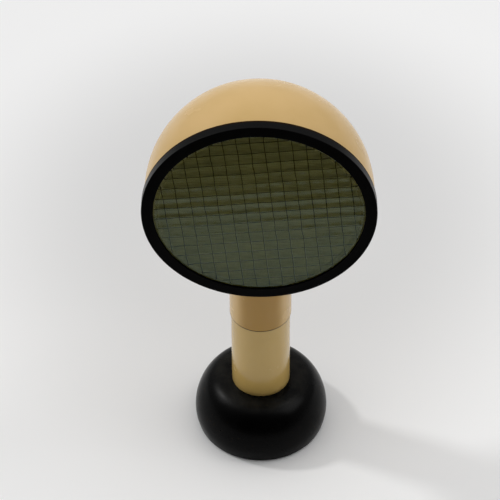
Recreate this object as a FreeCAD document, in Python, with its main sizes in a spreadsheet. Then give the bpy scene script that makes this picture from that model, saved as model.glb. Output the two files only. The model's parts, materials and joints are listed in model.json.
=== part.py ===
"""Tabletop searchlight lamp, as a parametric FreeCAD document.

A round drum-glass lamp head with a spun dome stands on a thick tube, and the tube stands in a
heavy moulded base. The head turns on the tube about the vertical axis. The black bezel with its
wired glass pulls off the front of the dome to reach the bulb. A push button at the dome's rear
pole switches the lamp.

Millimetres. The origin is the centre of the base on the table, +Z is up and the glass faces -Y.
Every size in SIZES can be changed by itself. Formulas are written in the aliases of the sheet.
"""
import FreeCAD, Part
import math
import os
import re
import Sketcher

os.makedirs("parts", exist_ok=True)
doc = FreeCAD.newDocument("SearchlightLamp")

# ---------------------------------------------------------------- driving sizes
SIZES = [
    # moulded base and what it hides
    ("base_radius", 69.0, "widest radius of the moulded base"),
    ("base_height", 61.5, "height of the base at its crest"),
    ("bulge_height", 16.0, "height of the widest circle above the table"),
    ("lip_width", 5.85, "distance from the tube's bore out to the base's crest"),
    ("lip_drop", 1.8, "fall of the moulding from its crest to the tube"),
    ("foot_inset", 2.2, "how far the rim stands inside the widest circle"),
    ("foot_round", 2.5, "rounding of the rim's outer edge"),
    ("rim_clearance", 0.5, "gap between the moulding's rim and the table"),
    ("skin_wall", 7.5, "wall of the moulding at its widest"),
    ("crown_wall", 11.5, "wall of the moulding at its crest"),
    ("knee_height", 24.0, "height where the hollow of the moulding starts to close in"),
    ("cavity_taper", 15.2, "how much the hollow closes in towards its ceiling"),
    ("ballast_gap", 0.3, "clearance between the ballast and the moulding"),
    ("recess_depth", 13.5, "depth of the recess under the ballast"),
    ("recess_clearance", 1.0, "clearance round the stem's flange"),
    ("pad_thickness", 2.0, "thickness of the felt under the base"),
    ("plate_thickness", 2.5, "thickness of the steel bottom plate"),
    ("plate_gap", 0.4, "clearance round the bottom plate and the felt"),
    ("screw_count", 3, "screws through the bottom plate"),
    ("screw_radius", 2.0, "radius of a plate screw's shank"),
    ("screw_head_radius", 4.0, "radius of a plate screw's head"),
    ("screw_head_height", 1.2, "height of a plate screw's head"),
    ("screw_length", 12.0, "length of a plate screw"),
    ("bolt_count", 3, "bolts through the stem's flange"),
    ("bolt_radius", 3.0, "radius of a flange bolt's shank"),
    ("bolt_head_radius", 5.0, "radius of a flange bolt's head"),
    ("bolt_head_height", 6.0, "height of a flange bolt's head"),
    ("bolt_socket_radius", 2.6, "radius of the socket in a flange bolt's head"),
    ("bolt_socket_depth", 3.0, "depth of the socket in a flange bolt's head"),
    ("bolt_length", 20.0, "length of a flange bolt's shank"),
    ("hole_gap", 0.1, "clearance round a screw, bolt or pressed pin"),
    # cord gland
    ("gland_height", 11.0, "height of the cord gland's axis"),
    ("gland_bore_radius", 3.4, "radius of the gland's bore for the cord"),
    ("gland_radius", 5.0, "radius of the gland's body"),
    ("gland_flange_radius", 7.0, "radius of the gland's outer flange"),
    ("gland_flange_thickness", 1.8, "thickness of the gland's outer flange"),
    ("gland_collar_radius", 5.8, "radius of the gland's inner collar"),
    ("gland_collar_thickness", 1.7, "thickness of the gland's inner collar"),
    ("channel_gap", 0.7, "clearance of the cord channel round the gland's collar"),
    # stem
    ("stem_radius", 30.0, "outer radius of the stem tube"),
    ("stem_wall", 1.5, "wall of the stem tube"),
    ("stem_fit", 0.15, "clearance between the stem and what it stands in"),
    ("neck_room", 37.0, "distance from the stem tube's upper end to the dome's lowest point"),
    ("flange_width", 12.0, "width of the stem's flange"),
    ("flange_thickness", 4.0, "thickness of the stem's flange"),
    # swivel
    ("cap_lip", 2.0, "height of the stem cap above the tube"),
    ("cap_web", 6.0, "thickness of the stem cap's web"),
    ("cap_skirt_depth", 14.0, "depth of the stem cap's skirt inside the tube"),
    ("cap_skirt_wall", 4.0, "wall of the stem cap's skirt"),
    ("nipple_radius", 5.0, "outer radius of the hollow pivot nipple"),
    ("nipple_bore_radius", 3.6, "bore of the pivot nipple"),
    ("nipple_end", 4.0, "how far the nipple stands past its nuts"),
    ("nut_radius", 8.1, "radius over the corners of the pivot nuts"),
    ("nut_height", 5.0, "height of the pivot nuts"),
    ("washer_radius", 20.0, "outer radius of the friction washer"),
    ("washer_thickness", 2.0, "thickness of the friction washer"),
    ("spring_washer_radius", 9.0, "outer radius of the spring washer"),
    ("spring_washer_thickness", 1.2, "thickness of the spring washer"),
    ("running_clearance", 0.08, "radial running clearance of a turning or sliding fit"),
    ("stop_radius", 2.0, "radius of the stop pins"),
    ("stop_gap", 0.4, "gap between a stop pin's end and the facing part"),
    # sleeve
    ("sleeve_overlap", 46.0, "how far the sleeve reaches down over the stem"),
    ("sleeve_clearance", 0.25, "radial gap between the sleeve and the stem"),
    ("sleeve_wall", 1.0, "wall of the neck sleeve"),
    ("neck_plate_thickness", 3.0, "thickness of the plate across the sleeve"),
    # dome
    ("head_height", 351.0, "height of the head's axis"),
    ("dome_radius", 108.0, "outer radius of the spun dome"),
    ("dome_wall", 1.2, "wall of the dome"),
    ("dome_set_back", 29.6, "distance from the bezel's face back to the dome's centre"),
    ("mouth_lip", 4.0, "width of the lip turned in at the dome's mouth"),
    ("neck_hole_radius", 16.0, "radius of the hole from the dome down into the neck"),
    ("weld_gap", 0.05, "gap at a welded or seated joint"),
    # bezel and glass
    ("face_setback", 60.0, "distance of the bezel's face in front of the stem's axis"),
    ("ring_overhang", 2.0, "how far the bezel stands out past the dome"),
    ("ring_width", 11.5, "width of the bezel's front face"),
    ("bezel_lip", 2.0, "thickness of the lip in front of the glass"),
    ("bezel_round", 1.6, "rounding of the bezel's front edge"),
    ("bezel_back_round", 0.8, "rounding of the bezel's rear edge"),
    ("skirt_wall", 1.2, "wall of the bezel's skirt round the retaining ring"),
    ("skirt_margin", 0.3, "how far the skirt reaches past the retaining ring"),
    ("shadow_gap", 0.8, "gap between the bezel and the dome's mouth"),
    ("glass_cover", 5.1, "how far the glass reaches behind the bezel's lip"),
    ("glass_thickness", 6.0, "thickness of the wired glass"),
    ("mesh_pitch", 12.5, "pitch of the square wire mesh in the glass"),
    ("mesh_angle", -5.5, "turn of the mesh in its plane, in degrees"),
    ("mesh_shift_across", 0.6, "offset of the mesh across the glass"),
    ("mesh_shift_up", 0.7, "offset of the mesh up the glass"),
    ("mesh_edge", 1.0, "distance of the mesh from the glass's edge"),
    ("wire_radius", 0.25, "radius of a mesh wire"),
    ("gasket_lip", 0.5, "thickness of the gasket on each face of the glass"),
    ("gasket_cover", 3.4, "how far the gasket reaches over the glass"),
    ("gasket_side", 1.2, "thickness of the gasket round the glass's edge"),
    ("gasket_clearance", 0.2, "clearance between the gasket and the bezel"),
    ("retainer_thickness", 1.0, "thickness of the retaining ring"),
    ("retainer_cover", 5.5, "how far the retaining ring reaches inside the gasket's edge"),
    ("retainer_gap", 0.2, "clearance between the retaining ring and the skirt"),
    ("small_screw_count", 6, "screws through the retaining ring"),
    ("small_screw_radius", 1.0, "radius of a retaining screw's shank"),
    ("small_screw_head_radius", 1.7, "radius of a retaining screw's head"),
    ("small_screw_head_height", 0.7, "height of a retaining screw's head"),
    ("small_screw_length", 5.5, "length of a retaining screw's shank"),
    ("clip_count", 3, "spring clips that hold the bezel in the dome's mouth"),
    ("clip_width", 12.0, "width of a spring clip"),
    ("clip_thickness", 0.8, "thickness of a spring clip"),
    ("clip_length", 14.0, "length of a spring clip's leaf"),
    ("clip_foot", 2.4, "height of a spring clip's foot"),
    ("clip_gap", 0.5, "gap between a clip and the dome's lip"),
    # lampholder, switch and bulb
    ("spigot_radius", 10.8, "radius of the switch housing's threaded spigot"),
    ("spigot_length", 12.0, "length of the spigot inside the dome's pole"),
    ("housing_radius", 18.0, "radius of the switch housing"),
    ("housing_depth", 14.0, "how far the housing stands out of the dome's pole"),
    ("housing_round", 3.0, "rounding of the housing's rear edge"),
    ("chamber_length", 8.0, "length of the chamber for the button's collar"),
    ("cap_wall", 3.6, "wall of the housing behind the chamber"),
    ("button_radius", 5.0, "radius of the push button"),
    ("button_height", 4.5, "how far the button stands out of the housing"),
    ("button_crown", 0.8, "crown of the button's face"),
    ("button_plunger_radius", 3.0, "radius of the button's plunger"),
    ("button_plunger_length", 2.0, "length of the button's plunger"),
    ("collar_radius", 6.4, "radius of the button's collar"),
    ("collar_thickness", 2.0, "thickness of the button's collar"),
    ("collar_gap", 0.25, "clearance round the button's collar"),
    ("ring_nut_radius", 17.0, "radius of the nut inside the dome's pole"),
    ("ring_nut_thickness", 4.0, "thickness of the nut inside the dome's pole"),
    ("holder_radius", 19.0, "outer radius of the lampholder"),
    ("holder_skirt_radius", 20.5, "outer radius of the lampholder's mouth"),
    ("holder_skirt_length", 8.0, "length of the lampholder's flared mouth"),
    ("holder_bore_radius", 14.6, "bore of the lampholder"),
    ("holder_depth", 37.0, "depth of the lampholder's bore"),
    ("holder_floor", 4.0, "thickness of the lampholder's floor"),
    ("seat_gap", 0.2, "gap between the lampholder's stacked pieces"),
    ("shell_radius", 14.4, "outer radius of the lampholder's brass shell"),
    ("shell_wall", 0.9, "wall of the lampholder's brass shell"),
    ("contact_radius", 4.0, "radius of the lampholder's centre contact"),
    ("contact_thickness", 1.5, "thickness of the lampholder's centre contact"),
    ("bulb_cap_radius", 13.2, "radius of the bulb's screw cap"),
    ("bulb_cap_length", 26.0, "length of the bulb's screw cap"),
    ("bulb_tip_radius", 4.8, "radius of the bulb's centre contact"),
    ("bulb_tip_length", 3.0, "length of the bulb cap's insulated end"),
    ("bulb_radius", 22.5, "radius of the bulb's globe"),
    ("bulb_length", 52.0, "length of the bulb's glass"),
    ("bulb_neck_radius", 12.6, "radius of the bulb's neck"),
    ("bulb_wall", 0.8, "wall of the bulb's glass"),
]

# ---------------------------------------------------------------- worked-out sizes
FORMULAS = {
    # base
    "plate_top": "pad_thickness + plate_thickness",
    "recess_top": "plate_top + recess_depth",
    "recess_radius": "flange_radius + recess_clearance",
    "flange_bottom": "recess_top - flange_thickness",
    "cavity_radius": "base_radius - skin_wall",
    "cavity_top_radius": "cavity_radius - cavity_taper",
    "ballast_radius": "cavity_radius - ballast_gap",
    "flange_radius": "stem_radius + flange_width",
    "bolt_circle": "(stem_radius + flange_radius) / 2",
    "screw_circle": "(recess_radius + ballast_radius) / 2",
    "cavity_top": "base_height - crown_wall",
    "plate_radius": "cavity_radius - plate_gap",
    "stand_bore": "stem_radius + stem_fit",
    "crest_radius": "stand_bore + lip_width",
    "foot_radius": "base_radius - foot_inset",
    # the base's outline from its widest circle to its crest is a quarter oval of two arcs
    "oval_width": "base_radius - crest_radius",
    "oval_rise": "base_height - bulge_height",
    "oval_chord": "sqrt(oval_width^2 + oval_rise^2)",
    "shoulder_radius": "oval_chord * (oval_chord - oval_rise + oval_width) / (2 * oval_rise)",
    "side_radius": "oval_chord * (oval_chord + oval_rise - oval_width) / (2 * oval_width)",
    "shoulder_start": "crest_radius + shoulder_radius * oval_rise / oval_chord",
    "shoulder_height": "base_height - shoulder_radius + shoulder_radius * oval_width / oval_chord",
    "foot_rise": "bulge_height - rim_clearance",
    "foot_curve": "(foot_inset^2 + foot_rise^2) / (2 * foot_inset)",
    "lip_curve": "(lip_width^2 + lip_drop^2) / (2 * lip_drop)",
    # swivel, upwards from the stem's end
    "stem_top_height": "head_height - dome_radius - neck_room",
    "joint_height": "stem_top_height - sleeve_overlap",
    "stem_inner": "stem_radius - stem_wall",
    "cap_radius": "stem_inner - hole_gap",
    "stop_circle": "(washer_radius + cap_radius) / 2",
    "cap_top": "stem_top_height + cap_lip",
    "cap_web_bottom": "cap_top - cap_web",
    "washer_top": "cap_top + washer_thickness",
    "neck_plate_top": "washer_top + neck_plate_thickness",
    "spring_washer_top": "neck_plate_top + spring_washer_thickness",
    "pivot_nut_top": "spring_washer_top + nut_height",
    "nipple_top": "pivot_nut_top + nipple_end",
    "nipple_bottom": "cap_web_bottom - nut_height - nipple_end",
    "nipple_hole": "nipple_radius + hole_gap",
    "pivot_bore": "nipple_radius + running_clearance",
    "sleeve_inner": "stem_radius + sleeve_clearance",
    "sleeve_radius": "sleeve_inner + sleeve_wall",
    # bezel stack, backwards from the face
    "ring_radius": "dome_radius + ring_overhang",
    "opening_radius": "ring_radius - ring_width",
    "glass_radius": "opening_radius + glass_cover",
    "face": "0 - face_setback",
    "lip_back": "face + bezel_lip",
    "glass_front": "lip_back + gasket_lip",
    "glass_back": "glass_front + glass_thickness",
    "ledge": "glass_back + gasket_lip",
    "retainer_back": "ledge + retainer_thickness",
    "bezel_back": "retainer_back + skirt_margin",
    "gasket_radius": "glass_radius + gasket_side",
    "pocket_radius": "gasket_radius + gasket_clearance",
    "skirt_inner": "ring_radius - skirt_wall",
    "retainer_radius": "skirt_inner - retainer_gap",
    "retainer_inner": "gasket_radius - retainer_cover",
    "small_screw_circle": "(pocket_radius + skirt_inner) / 2",
    # dome
    "dome_centre": "face + dome_set_back",
    "dome_inner": "dome_radius - dome_wall",
    "mouth": "bezel_back + shadow_gap",
    "mouth_radius": "sqrt(dome_radius^2 - (mouth - dome_centre)^2)",
    "mouth_inside": "mouth + dome_wall",
    "mouth_inside_radius": "sqrt(dome_inner^2 - (mouth_inside - dome_centre)^2)",
    "mouth_lip_radius": "mouth_radius - mouth_lip",
    "pole": "dome_centre + dome_radius",
    "pole_hole": "spigot_radius + hole_gap",
    "pole_hole_outside": "dome_centre + sqrt(dome_radius^2 - pole_hole^2)",
    "pole_hole_inside": "dome_centre + sqrt(dome_inner^2 - pole_hole^2)",
    "clip_outer": "mouth_lip_radius - clip_gap",
    # switch and lampholder, along the head's axis
    "seat_radius": "dome_radius + weld_gap",
    "seat_rim": "dome_centre + sqrt(seat_radius^2 - housing_radius^2)",
    "seat_root": "dome_centre + sqrt(seat_radius^2 - spigot_radius^2)",
    "spigot_tip": "pole - spigot_length",
    "housing_back": "pole + housing_depth",
    "chamber_back": "housing_back - cap_wall",
    "chamber_front": "chamber_back - chamber_length",
    "chamber_radius": "collar_radius + collar_gap",
    "button_bore": "button_radius + running_clearance",
    "button_back": "housing_back + button_height",
    "button_curve": "(button_radius^2 + button_crown^2) / (2 * button_crown)",
    "collar_front": "chamber_back - collar_thickness",
    "plunger_front": "collar_front - button_plunger_length",
    "ring_nut_back": "dome_centre + sqrt(dome_inner^2 - ring_nut_radius^2) - weld_gap",
    "ring_nut_front": "ring_nut_back - ring_nut_thickness",
    "holder_back": "ring_nut_front - seat_gap",
    "holder_recess": "spigot_tip - seat_gap",
    "holder_bore_back": "holder_recess - holder_floor",
    "holder_front": "holder_bore_back - holder_depth",
    "contact_front": "holder_bore_back - contact_thickness",
    "shell_inner": "shell_radius - shell_wall",
    "bulb_tip": "contact_front - hole_gap",
    "bulb_shoulder": "bulb_tip - bulb_tip_length",
    "bulb_cap_front": "bulb_tip - bulb_cap_length",
    "bulb_front": "bulb_cap_front - bulb_length",
    "globe_centre": "bulb_front + bulb_radius",
    "globe_inner_radius": "bulb_radius - bulb_wall",
    "bulb_neck_inner": "bulb_neck_radius - bulb_wall",
    "globe_neck": "globe_centre + sqrt(bulb_radius^2 - bulb_neck_radius^2)",
    "globe_neck_inner": "globe_centre + sqrt(globe_inner_radius^2 - bulb_neck_inner^2)",
}

sheet = doc.addObject("Spreadsheet::Sheet", "Sizes")
for row, (alias, value, meaning) in enumerate(SIZES, start=1):
    sheet.set(f"A{row}", meaning)
    sheet.set(f"B{row}", str(value))
    sheet.setAlias(f"B{row}", alias)
doc.recompute()

ALIASES = {alias for alias, value, meaning in SIZES}
nodes = []


# ---------------------------------------------------------------- formulas
def bound(text):
    """Return a formula with every size's name replaced by its cell or its own formula."""
    def swap(match):
        word = match.group(0)
        if word in ALIASES:
            return "Sizes." + word
        if word in FORMULAS:
            return "(" + bound(FORMULAS[word]) + ")"
        return word
    return re.sub(r"[a-z_]+", swap, text)


def number(text):
    """Return a formula's value as a plain number."""
    return float(sheet.evalExpression(bound(text)))


# ---------------------------------------------------------------- sketches
def origin_feature(body, role):
    """Return the plane or axis of a body's origin that has the given role."""
    return next(feature for feature in body.Origin.OriginFeatures if feature.Role == role)


def new_sketch(body, name, plane, shift=None):
    """Add an empty sketch on one of the body's own planes, shifted by named formulas."""
    sketch = body.newObject("Sketcher::SketchObject", name)
    sketch.AttachmentSupport = [(origin_feature(body, plane), "")]
    sketch.MapMode = "FlatFace"
    for axis, formula in (shift or {}).items():
        sketch.setExpression(f"AttachmentOffset.Base.{axis}", bound(formula))
    return sketch


def pin_point(sketch, edge, end, place):
    """Hold one point of a sketch at a pair of formulas; "0" puts it on the axis."""
    for kind, axis, formula in (("DistanceX", -2, place[0]), ("DistanceY", -1, place[1])):
        if formula == "0":
            sketch.addConstraint(Sketcher.Constraint("PointOnObject", edge, end, axis))
        else:
            value = number(formula)
            index = sketch.addConstraint(Sketcher.Constraint(kind, -1, 1, edge, end, value))
            sketch.setExpression(f"Constraints[{index}]", bound(formula))


def arc_between(first, last, radius, side):
    """Return the short arc from first to last, bulging left (+1) or right (-1) of the way."""
    middle = (first + last) * 0.5
    way = last - first
    rise = math.sqrt(max(radius ** 2 - (way.Length / 2) ** 2, 0.0))
    to_left = FreeCAD.Vector(-way.y, way.x, 0).normalize()
    centre = middle - to_left * rise * side
    begin, end = (last, first) if side > 0 else (first, last)
    angles = [math.atan2(point.y - centre.y, point.x - centre.x) for point in (begin, end)]
    circle = Part.Circle(centre, FreeCAD.Vector(0, 0, 1), radius)
    return Part.ArcOfCircle(circle, angles[0], angles[1])


def draw_outline(sketch, corners, arcs=None):
    """Draw a closed outline through the corners, with straight or arched edges.

    A corner is a pair of formulas. arcs maps the number of an edge, counted from 0 at the
    first corner, to the formula of its radius and the side that it bulges to.
    """
    arcs = arcs or {}
    points = [FreeCAD.Vector(number(x), number(y), 0) for x, y in corners]
    ends = []
    for edge, first in enumerate(points):
        last = points[(edge + 1) % len(points)]
        if edge in arcs:
            radius, side = arcs[edge]
            sketch.addGeometry(arc_between(first, last, number(radius), side), False)
            ends.append((2, 1) if side > 0 else (1, 2))
        else:
            sketch.addGeometry(Part.LineSegment(first, last), False)
            ends.append((1, 2))
    for edge, (start, stop) in enumerate(ends):
        after = (edge + 1) % len(ends)
        join = Sketcher.Constraint("Coincident", edge, stop, after, ends[after][0])
        sketch.addConstraint(join)
        pin_point(sketch, edge, start, corners[edge])
    for edge, (radius, side) in arcs.items():
        index = sketch.addConstraint(Sketcher.Constraint("Radius", edge, number(radius)))
        sketch.setExpression(f"Constraints[{index}]", bound(radius))


def draw_circle(sketch, place, radius):
    """Draw a circle of the given radius at a pair of formulas."""
    centre = FreeCAD.Vector(number(place[0]), number(place[1]), 0)
    circle = Part.Circle(centre, FreeCAD.Vector(0, 0, 1), number(radius))
    edge = sketch.addGeometry(circle, False)
    pin_point(sketch, edge, 3, place)
    index = sketch.addConstraint(Sketcher.Constraint("Radius", edge, number(radius)))
    sketch.setExpression(f"Constraints[{index}]", bound(radius))


# ---------------------------------------------------------------- solids
def new_body(label, in_head=False):
    """Start a body; one that belongs to the head has its origin on the head's axis."""
    body = doc.addObject("PartDesign::Body", label)
    body.Label = label
    if in_head:
        body.setExpression("Placement.Base.z", bound("head_height"))
    nodes.append(body)
    return body


def revolve(body, sketch, axis):
    """Turn a sketch all the way round one of its own axes."""
    turn = body.newObject("PartDesign::Revolution", body.Label + "_turn")
    turn.Profile = sketch
    turn.ReferenceAxis = (sketch, [axis])
    turn.Angle = 360
    doc.recompute()
    return turn


def upright(label, corners, arcs=None):
    """Turn a section of (radius, height) corners about the stem's axis."""
    body = new_body(label)
    sketch = new_sketch(body, label + "_section", "XZ_Plane")
    draw_outline(sketch, corners, arcs)
    revolve(body, sketch, "V_Axis")
    return body


def lying(label, corners, arcs=None):
    """Turn a section of (distance along Y, radius) corners about the head's axis."""
    body = new_body(label, in_head=True)
    sketch = new_sketch(body, label + "_section", "YZ_Plane")
    draw_outline(sketch, corners, arcs)
    revolve(body, sketch, "H_Axis")
    return body


def ring_of(body, feature, count, axis):
    """Repeat a feature evenly round an axis of its body."""
    pattern = body.newObject("PartDesign::PolarPattern", feature.Name + "_ring")
    pattern.Originals = [feature]
    pattern.Axis = (origin_feature(body, axis), [""])
    pattern.Angle = 360
    pattern.setExpression("Occurrences", bound(count))
    body.Tip = pattern
    doc.recompute()
    return pattern


def cut_by(body, sketch, length=None, reverse=False):
    """Cut a sketch out of a body, right through or to a length, and test that it cut."""
    before = body.Shape.Volume
    pocket = body.newObject("PartDesign::Pocket", sketch.Name + "_cut")
    pocket.Profile = sketch
    if length is None:
        pocket.Type = "ThroughAll"
        pocket.SideType = "Symmetric"
    else:
        pocket.Type = "Length"
        pocket.setExpression("Length", bound(length))
        pocket.Reversed = reverse
    doc.recompute()
    if body.Shape.Volume >= before:
        raise RuntimeError(sketch.Name + " cuts nothing")
    return pocket


def hole_circle(body, name, radius, circle, count, lies=False):
    """Drill a circle of through holes, the first one at +X, or at the top of the head."""
    plane, axis = ("XZ_Plane", "Y_Axis") if lies else ("XY_Plane", "Z_Axis")
    place = ("0", circle) if lies else (circle, "0")
    sketch = new_sketch(body, name, plane)
    draw_circle(sketch, place, radius)
    ring_of(body, cut_by(body, sketch), count, axis)


def upright_fasteners(label, corners, circle, count):
    """Make a circle of upright turned fasteners from one (radius, height) section."""
    body = new_body(label)
    sketch = new_sketch(body, label + "_section", "XZ_Plane", {"x": circle})
    draw_outline(sketch, corners)
    ring_of(body, revolve(body, sketch, "V_Axis"), count, "Z_Axis")


def lying_fasteners(label, corners, circle, count):
    """Make a circle of lying turned fasteners from one (distance, radius) section."""
    body = new_body(label, in_head=True)
    sketch = new_sketch(body, label + "_section", "YZ_Plane", {"y": circle})
    draw_outline(sketch, corners)
    ring_of(body, revolve(body, sketch, "H_Axis"), count, "Y_Axis")


def primitive(kind, name, sizes, place=None):
    """Add a Part primitive whose properties and position follow the given formulas."""
    item = doc.addObject("Part::" + kind, name)
    for key, formula in sizes.items():
        item.setExpression(key, bound(formula))
    for axis, formula in (place or {}).items():
        item.setExpression(f"Placement.Base.{axis}", bound(formula))
    return item


def cut_primitive(name, base, tool):
    """Subtract one Part object from another."""
    item = doc.addObject("Part::Cut", name)
    item.Base = base
    item.Tool = tool
    return item


# ---------------------------------------------------------------- base
def make_base():
    """The moulded base, its ballast, the bottom plate and the felt."""
    moulding = upright("base_moulding", [
        ("stand_bore", "cavity_top"),
        ("cavity_top_radius", "cavity_top"),
        ("cavity_radius", "knee_height"),
        ("cavity_radius", "rim_clearance"),
        ("foot_radius", "rim_clearance"),
        ("base_radius", "bulge_height"),
        ("shoulder_start", "shoulder_height"),
        ("crest_radius", "base_height"),
        ("stand_bore", "base_height - lip_drop"),
    ], {4: ("foot_curve", -1), 5: ("side_radius", -1), 6: ("shoulder_radius", -1),
        7: ("lip_curve", -1)})
    round_foot(moulding)
    drill_gland_hole(moulding)

    ballast = upright("ballast_weight", [
        ("stand_bore", "recess_top"),
        ("recess_radius", "recess_top"),
        ("recess_radius", "plate_top"),
        ("ballast_radius", "plate_top"),
        ("ballast_radius", "knee_height"),
        ("cavity_top_radius - ballast_gap", "cavity_top - ballast_gap"),
        ("stand_bore", "cavity_top - ballast_gap"),
    ])
    cut_cord_channel(ballast)
    hole_circle(ballast, "ballast_bolt_hole", "bolt_radius + hole_gap", "bolt_circle", "bolt_count")
    hole_circle(ballast, "ballast_screw_hole", "screw_radius + hole_gap", "screw_circle",
                "screw_count")

    plate = upright("base_plate", [
        ("0", "pad_thickness"),
        ("plate_radius", "pad_thickness"),
        ("plate_radius", "plate_top"),
        ("0", "plate_top"),
    ])
    hole_circle(plate, "plate_hole", "screw_radius + hole_gap", "screw_circle", "screw_count")
    sink_heads(plate)
    upright_fasteners("plate_screws", [
        ("0", "pad_thickness"),
        ("screw_head_radius", "pad_thickness"),
        ("screw_head_radius", "pad_thickness + screw_head_height"),
        ("screw_radius", "pad_thickness + screw_head_height"),
        ("screw_radius", "pad_thickness + screw_length"),
        ("0", "pad_thickness + screw_length"),
    ], "screw_circle", "screw_count")

    pad = primitive("Cylinder", "foot_pad", {"Radius": "plate_radius", "Height": "pad_thickness"})
    nodes.append(pad)


def round_foot(moulding):
    """Round the moulding's rim where it nears the table."""
    rim = number("rim_clearance")
    outer = number("foot_radius")
    tip = moulding.Tip
    names = []
    for index, edge in enumerate(tip.Shape.Edges, start=1):
        box = edge.BoundBox
        if abs(box.ZMax - rim) < 0.01 and abs(box.XMax - outer) < 0.01:
            names.append(f"Edge{index}")
    fillet = moulding.newObject("PartDesign::Fillet", "foot_fillet")
    fillet.Base = (tip, names)
    fillet.setExpression("Radius", bound("foot_round"))
    moulding.Tip = fillet
    doc.recompute()


def drill_gland_hole(moulding):
    """Drill the hole for the cord gland through the rear of the moulding."""
    sketch = new_sketch(moulding, "gland_hole", "XZ_Plane")
    draw_circle(sketch, ("0", "gland_height"), "gland_radius + hole_gap")
    cut_by(moulding, sketch, "base_radius")


def cut_cord_channel(ballast):
    """Cut the channel that leads the cord from the gland to the stem."""
    sketch = new_sketch(ballast, "cord_channel", "XY_Plane", {"z": "plate_top"})
    half = "gland_collar_radius + channel_gap"
    draw_outline(sketch, [
        ("0 - (" + half + ")", "stem_radius"),
        (half, "stem_radius"),
        (half, "base_radius"),
        ("0 - (" + half + ")", "base_radius"),
    ])
    depth = "gland_height + gland_collar_radius + channel_gap - plate_top"
    cut_by(ballast, sketch, depth, reverse=True)


def sink_heads(plate):
    """Counterbore the bottom plate so that the screws' heads lie flush."""
    sketch = new_sketch(plate, "head_recess", "XY_Plane", {"z": "pad_thickness"})
    draw_circle(sketch, ("screw_circle", "0"), "screw_head_radius + hole_gap")
    pocket = cut_by(plate, sketch, "screw_head_height", reverse=True)
    ring_of(plate, pocket, "screw_count", "Z_Axis")


def make_gland():
    """The cord gland in the rear of the base, turned about its own axis."""
    gland = new_body("cord_gland")
    gland.setExpression("Placement.Base.z", bound("gland_height"))
    sketch = new_sketch(gland, "gland_section", "YZ_Plane")
    inner_face = "ballast_radius - hole_gap"
    outer_face = "base_radius + weld_gap"
    draw_outline(sketch, [
        (inner_face + " - gland_collar_thickness", "gland_bore_radius"),
        (outer_face + " + gland_flange_thickness", "gland_bore_radius"),
        (outer_face + " + gland_flange_thickness", "gland_flange_radius"),
        (outer_face, "gland_flange_radius"),
        (outer_face, "gland_radius"),
        (inner_face, "gland_radius"),
        (inner_face, "gland_collar_radius"),
        (inner_face + " - gland_collar_thickness", "gland_collar_radius"),
    ])
    revolve(gland, sketch, "H_Axis")


# ---------------------------------------------------------------- stem and swivel
def make_stem():
    """The stem tube with its flange, bolted up into the ballast."""
    upright("stem_tube", [
        ("stem_inner", "flange_bottom"),
        ("stem_radius", "flange_bottom"),
        ("stem_radius", "stem_top_height"),
        ("stem_inner", "stem_top_height"),
    ])
    flange = upright("stem_flange", [
        ("stem_radius + weld_gap", "flange_bottom"),
        ("flange_radius", "flange_bottom"),
        ("flange_radius", "recess_top"),
        ("stem_radius + weld_gap", "recess_top"),
    ])
    hole_circle(flange, "flange_hole", "bolt_radius + hole_gap", "bolt_circle", "bolt_count")
    head_bottom = "flange_bottom - bolt_head_height"
    upright_fasteners("flange_bolts", [
        ("0", head_bottom + " + bolt_socket_depth"),
        ("bolt_socket_radius", head_bottom + " + bolt_socket_depth"),
        ("bolt_socket_radius", head_bottom),
        ("bolt_head_radius", head_bottom),
        ("bolt_head_radius", "flange_bottom"),
        ("bolt_radius", "flange_bottom"),
        ("bolt_radius", "flange_bottom + bolt_length"),
        ("0", "flange_bottom + bolt_length"),
    ], "bolt_circle", "bolt_count")


def make_swivel():
    """The pivot on the stem's cap that carries and brakes the head, with its end stop."""
    skirt_inner = "cap_radius - cap_skirt_wall"
    cap = upright("stem_cap", [
        ("nipple_hole", "cap_web_bottom"),
        (skirt_inner, "cap_web_bottom"),
        (skirt_inner, "stem_top_height - cap_skirt_depth"),
        ("cap_radius", "stem_top_height - cap_skirt_depth"),
        ("cap_radius", "stem_top_height"),
        ("stem_radius", "stem_top_height"),
        ("stem_radius", "cap_top"),
        ("nipple_hole", "cap_top"),
    ])
    sketch = new_sketch(cap, "stop_hole", "XY_Plane", {"z": "cap_top"})
    draw_circle(sketch, ("0", "stop_circle"), "stop_radius + hole_gap")
    cut_by(cap, sketch, "cap_web")

    upright("pivot_nipple", [
        ("nipple_bore_radius", "nipple_bottom"),
        ("nipple_radius", "nipple_bottom"),
        ("nipple_radius", "nipple_top"),
        ("nipple_bore_radius", "nipple_top"),
    ])
    make_nut("nipple_locknut", "cap_web_bottom - nut_height")
    make_nut("pivot_nut", "spring_washer_top")
    upright("friction_washer", [
        ("nipple_hole", "cap_top"),
        ("washer_radius", "cap_top"),
        ("washer_radius", "washer_top"),
        ("nipple_hole", "washer_top"),
    ])
    upright("spring_washer", [
        ("nipple_hole", "neck_plate_top"),
        ("spring_washer_radius", "neck_plate_top"),
        ("spring_washer_radius", "spring_washer_top"),
        ("nipple_hole", "spring_washer_top"),
    ])
    pin = primitive("Cylinder", "stop_pin", {
        "Radius": "stop_radius",
        "Height": "cap_web + washer_thickness - stop_gap",
    }, {"y": "stop_circle", "z": "cap_web_bottom"})
    nodes.append(pin)


def make_nut(label, bottom):
    """A hexagon nut on the pivot nipple."""
    blank = primitive("Prism", label + "_blank", {
        "Circumradius": "nut_radius",
        "Height": "nut_height",
    }, {"z": bottom})
    blank.Polygon = 6
    bore = primitive("Cylinder", label + "_bore", {
        "Radius": "nipple_hole",
        "Height": "nut_height",
    }, {"z": bottom})
    nodes.append(cut_primitive(label, blank, bore))


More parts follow.
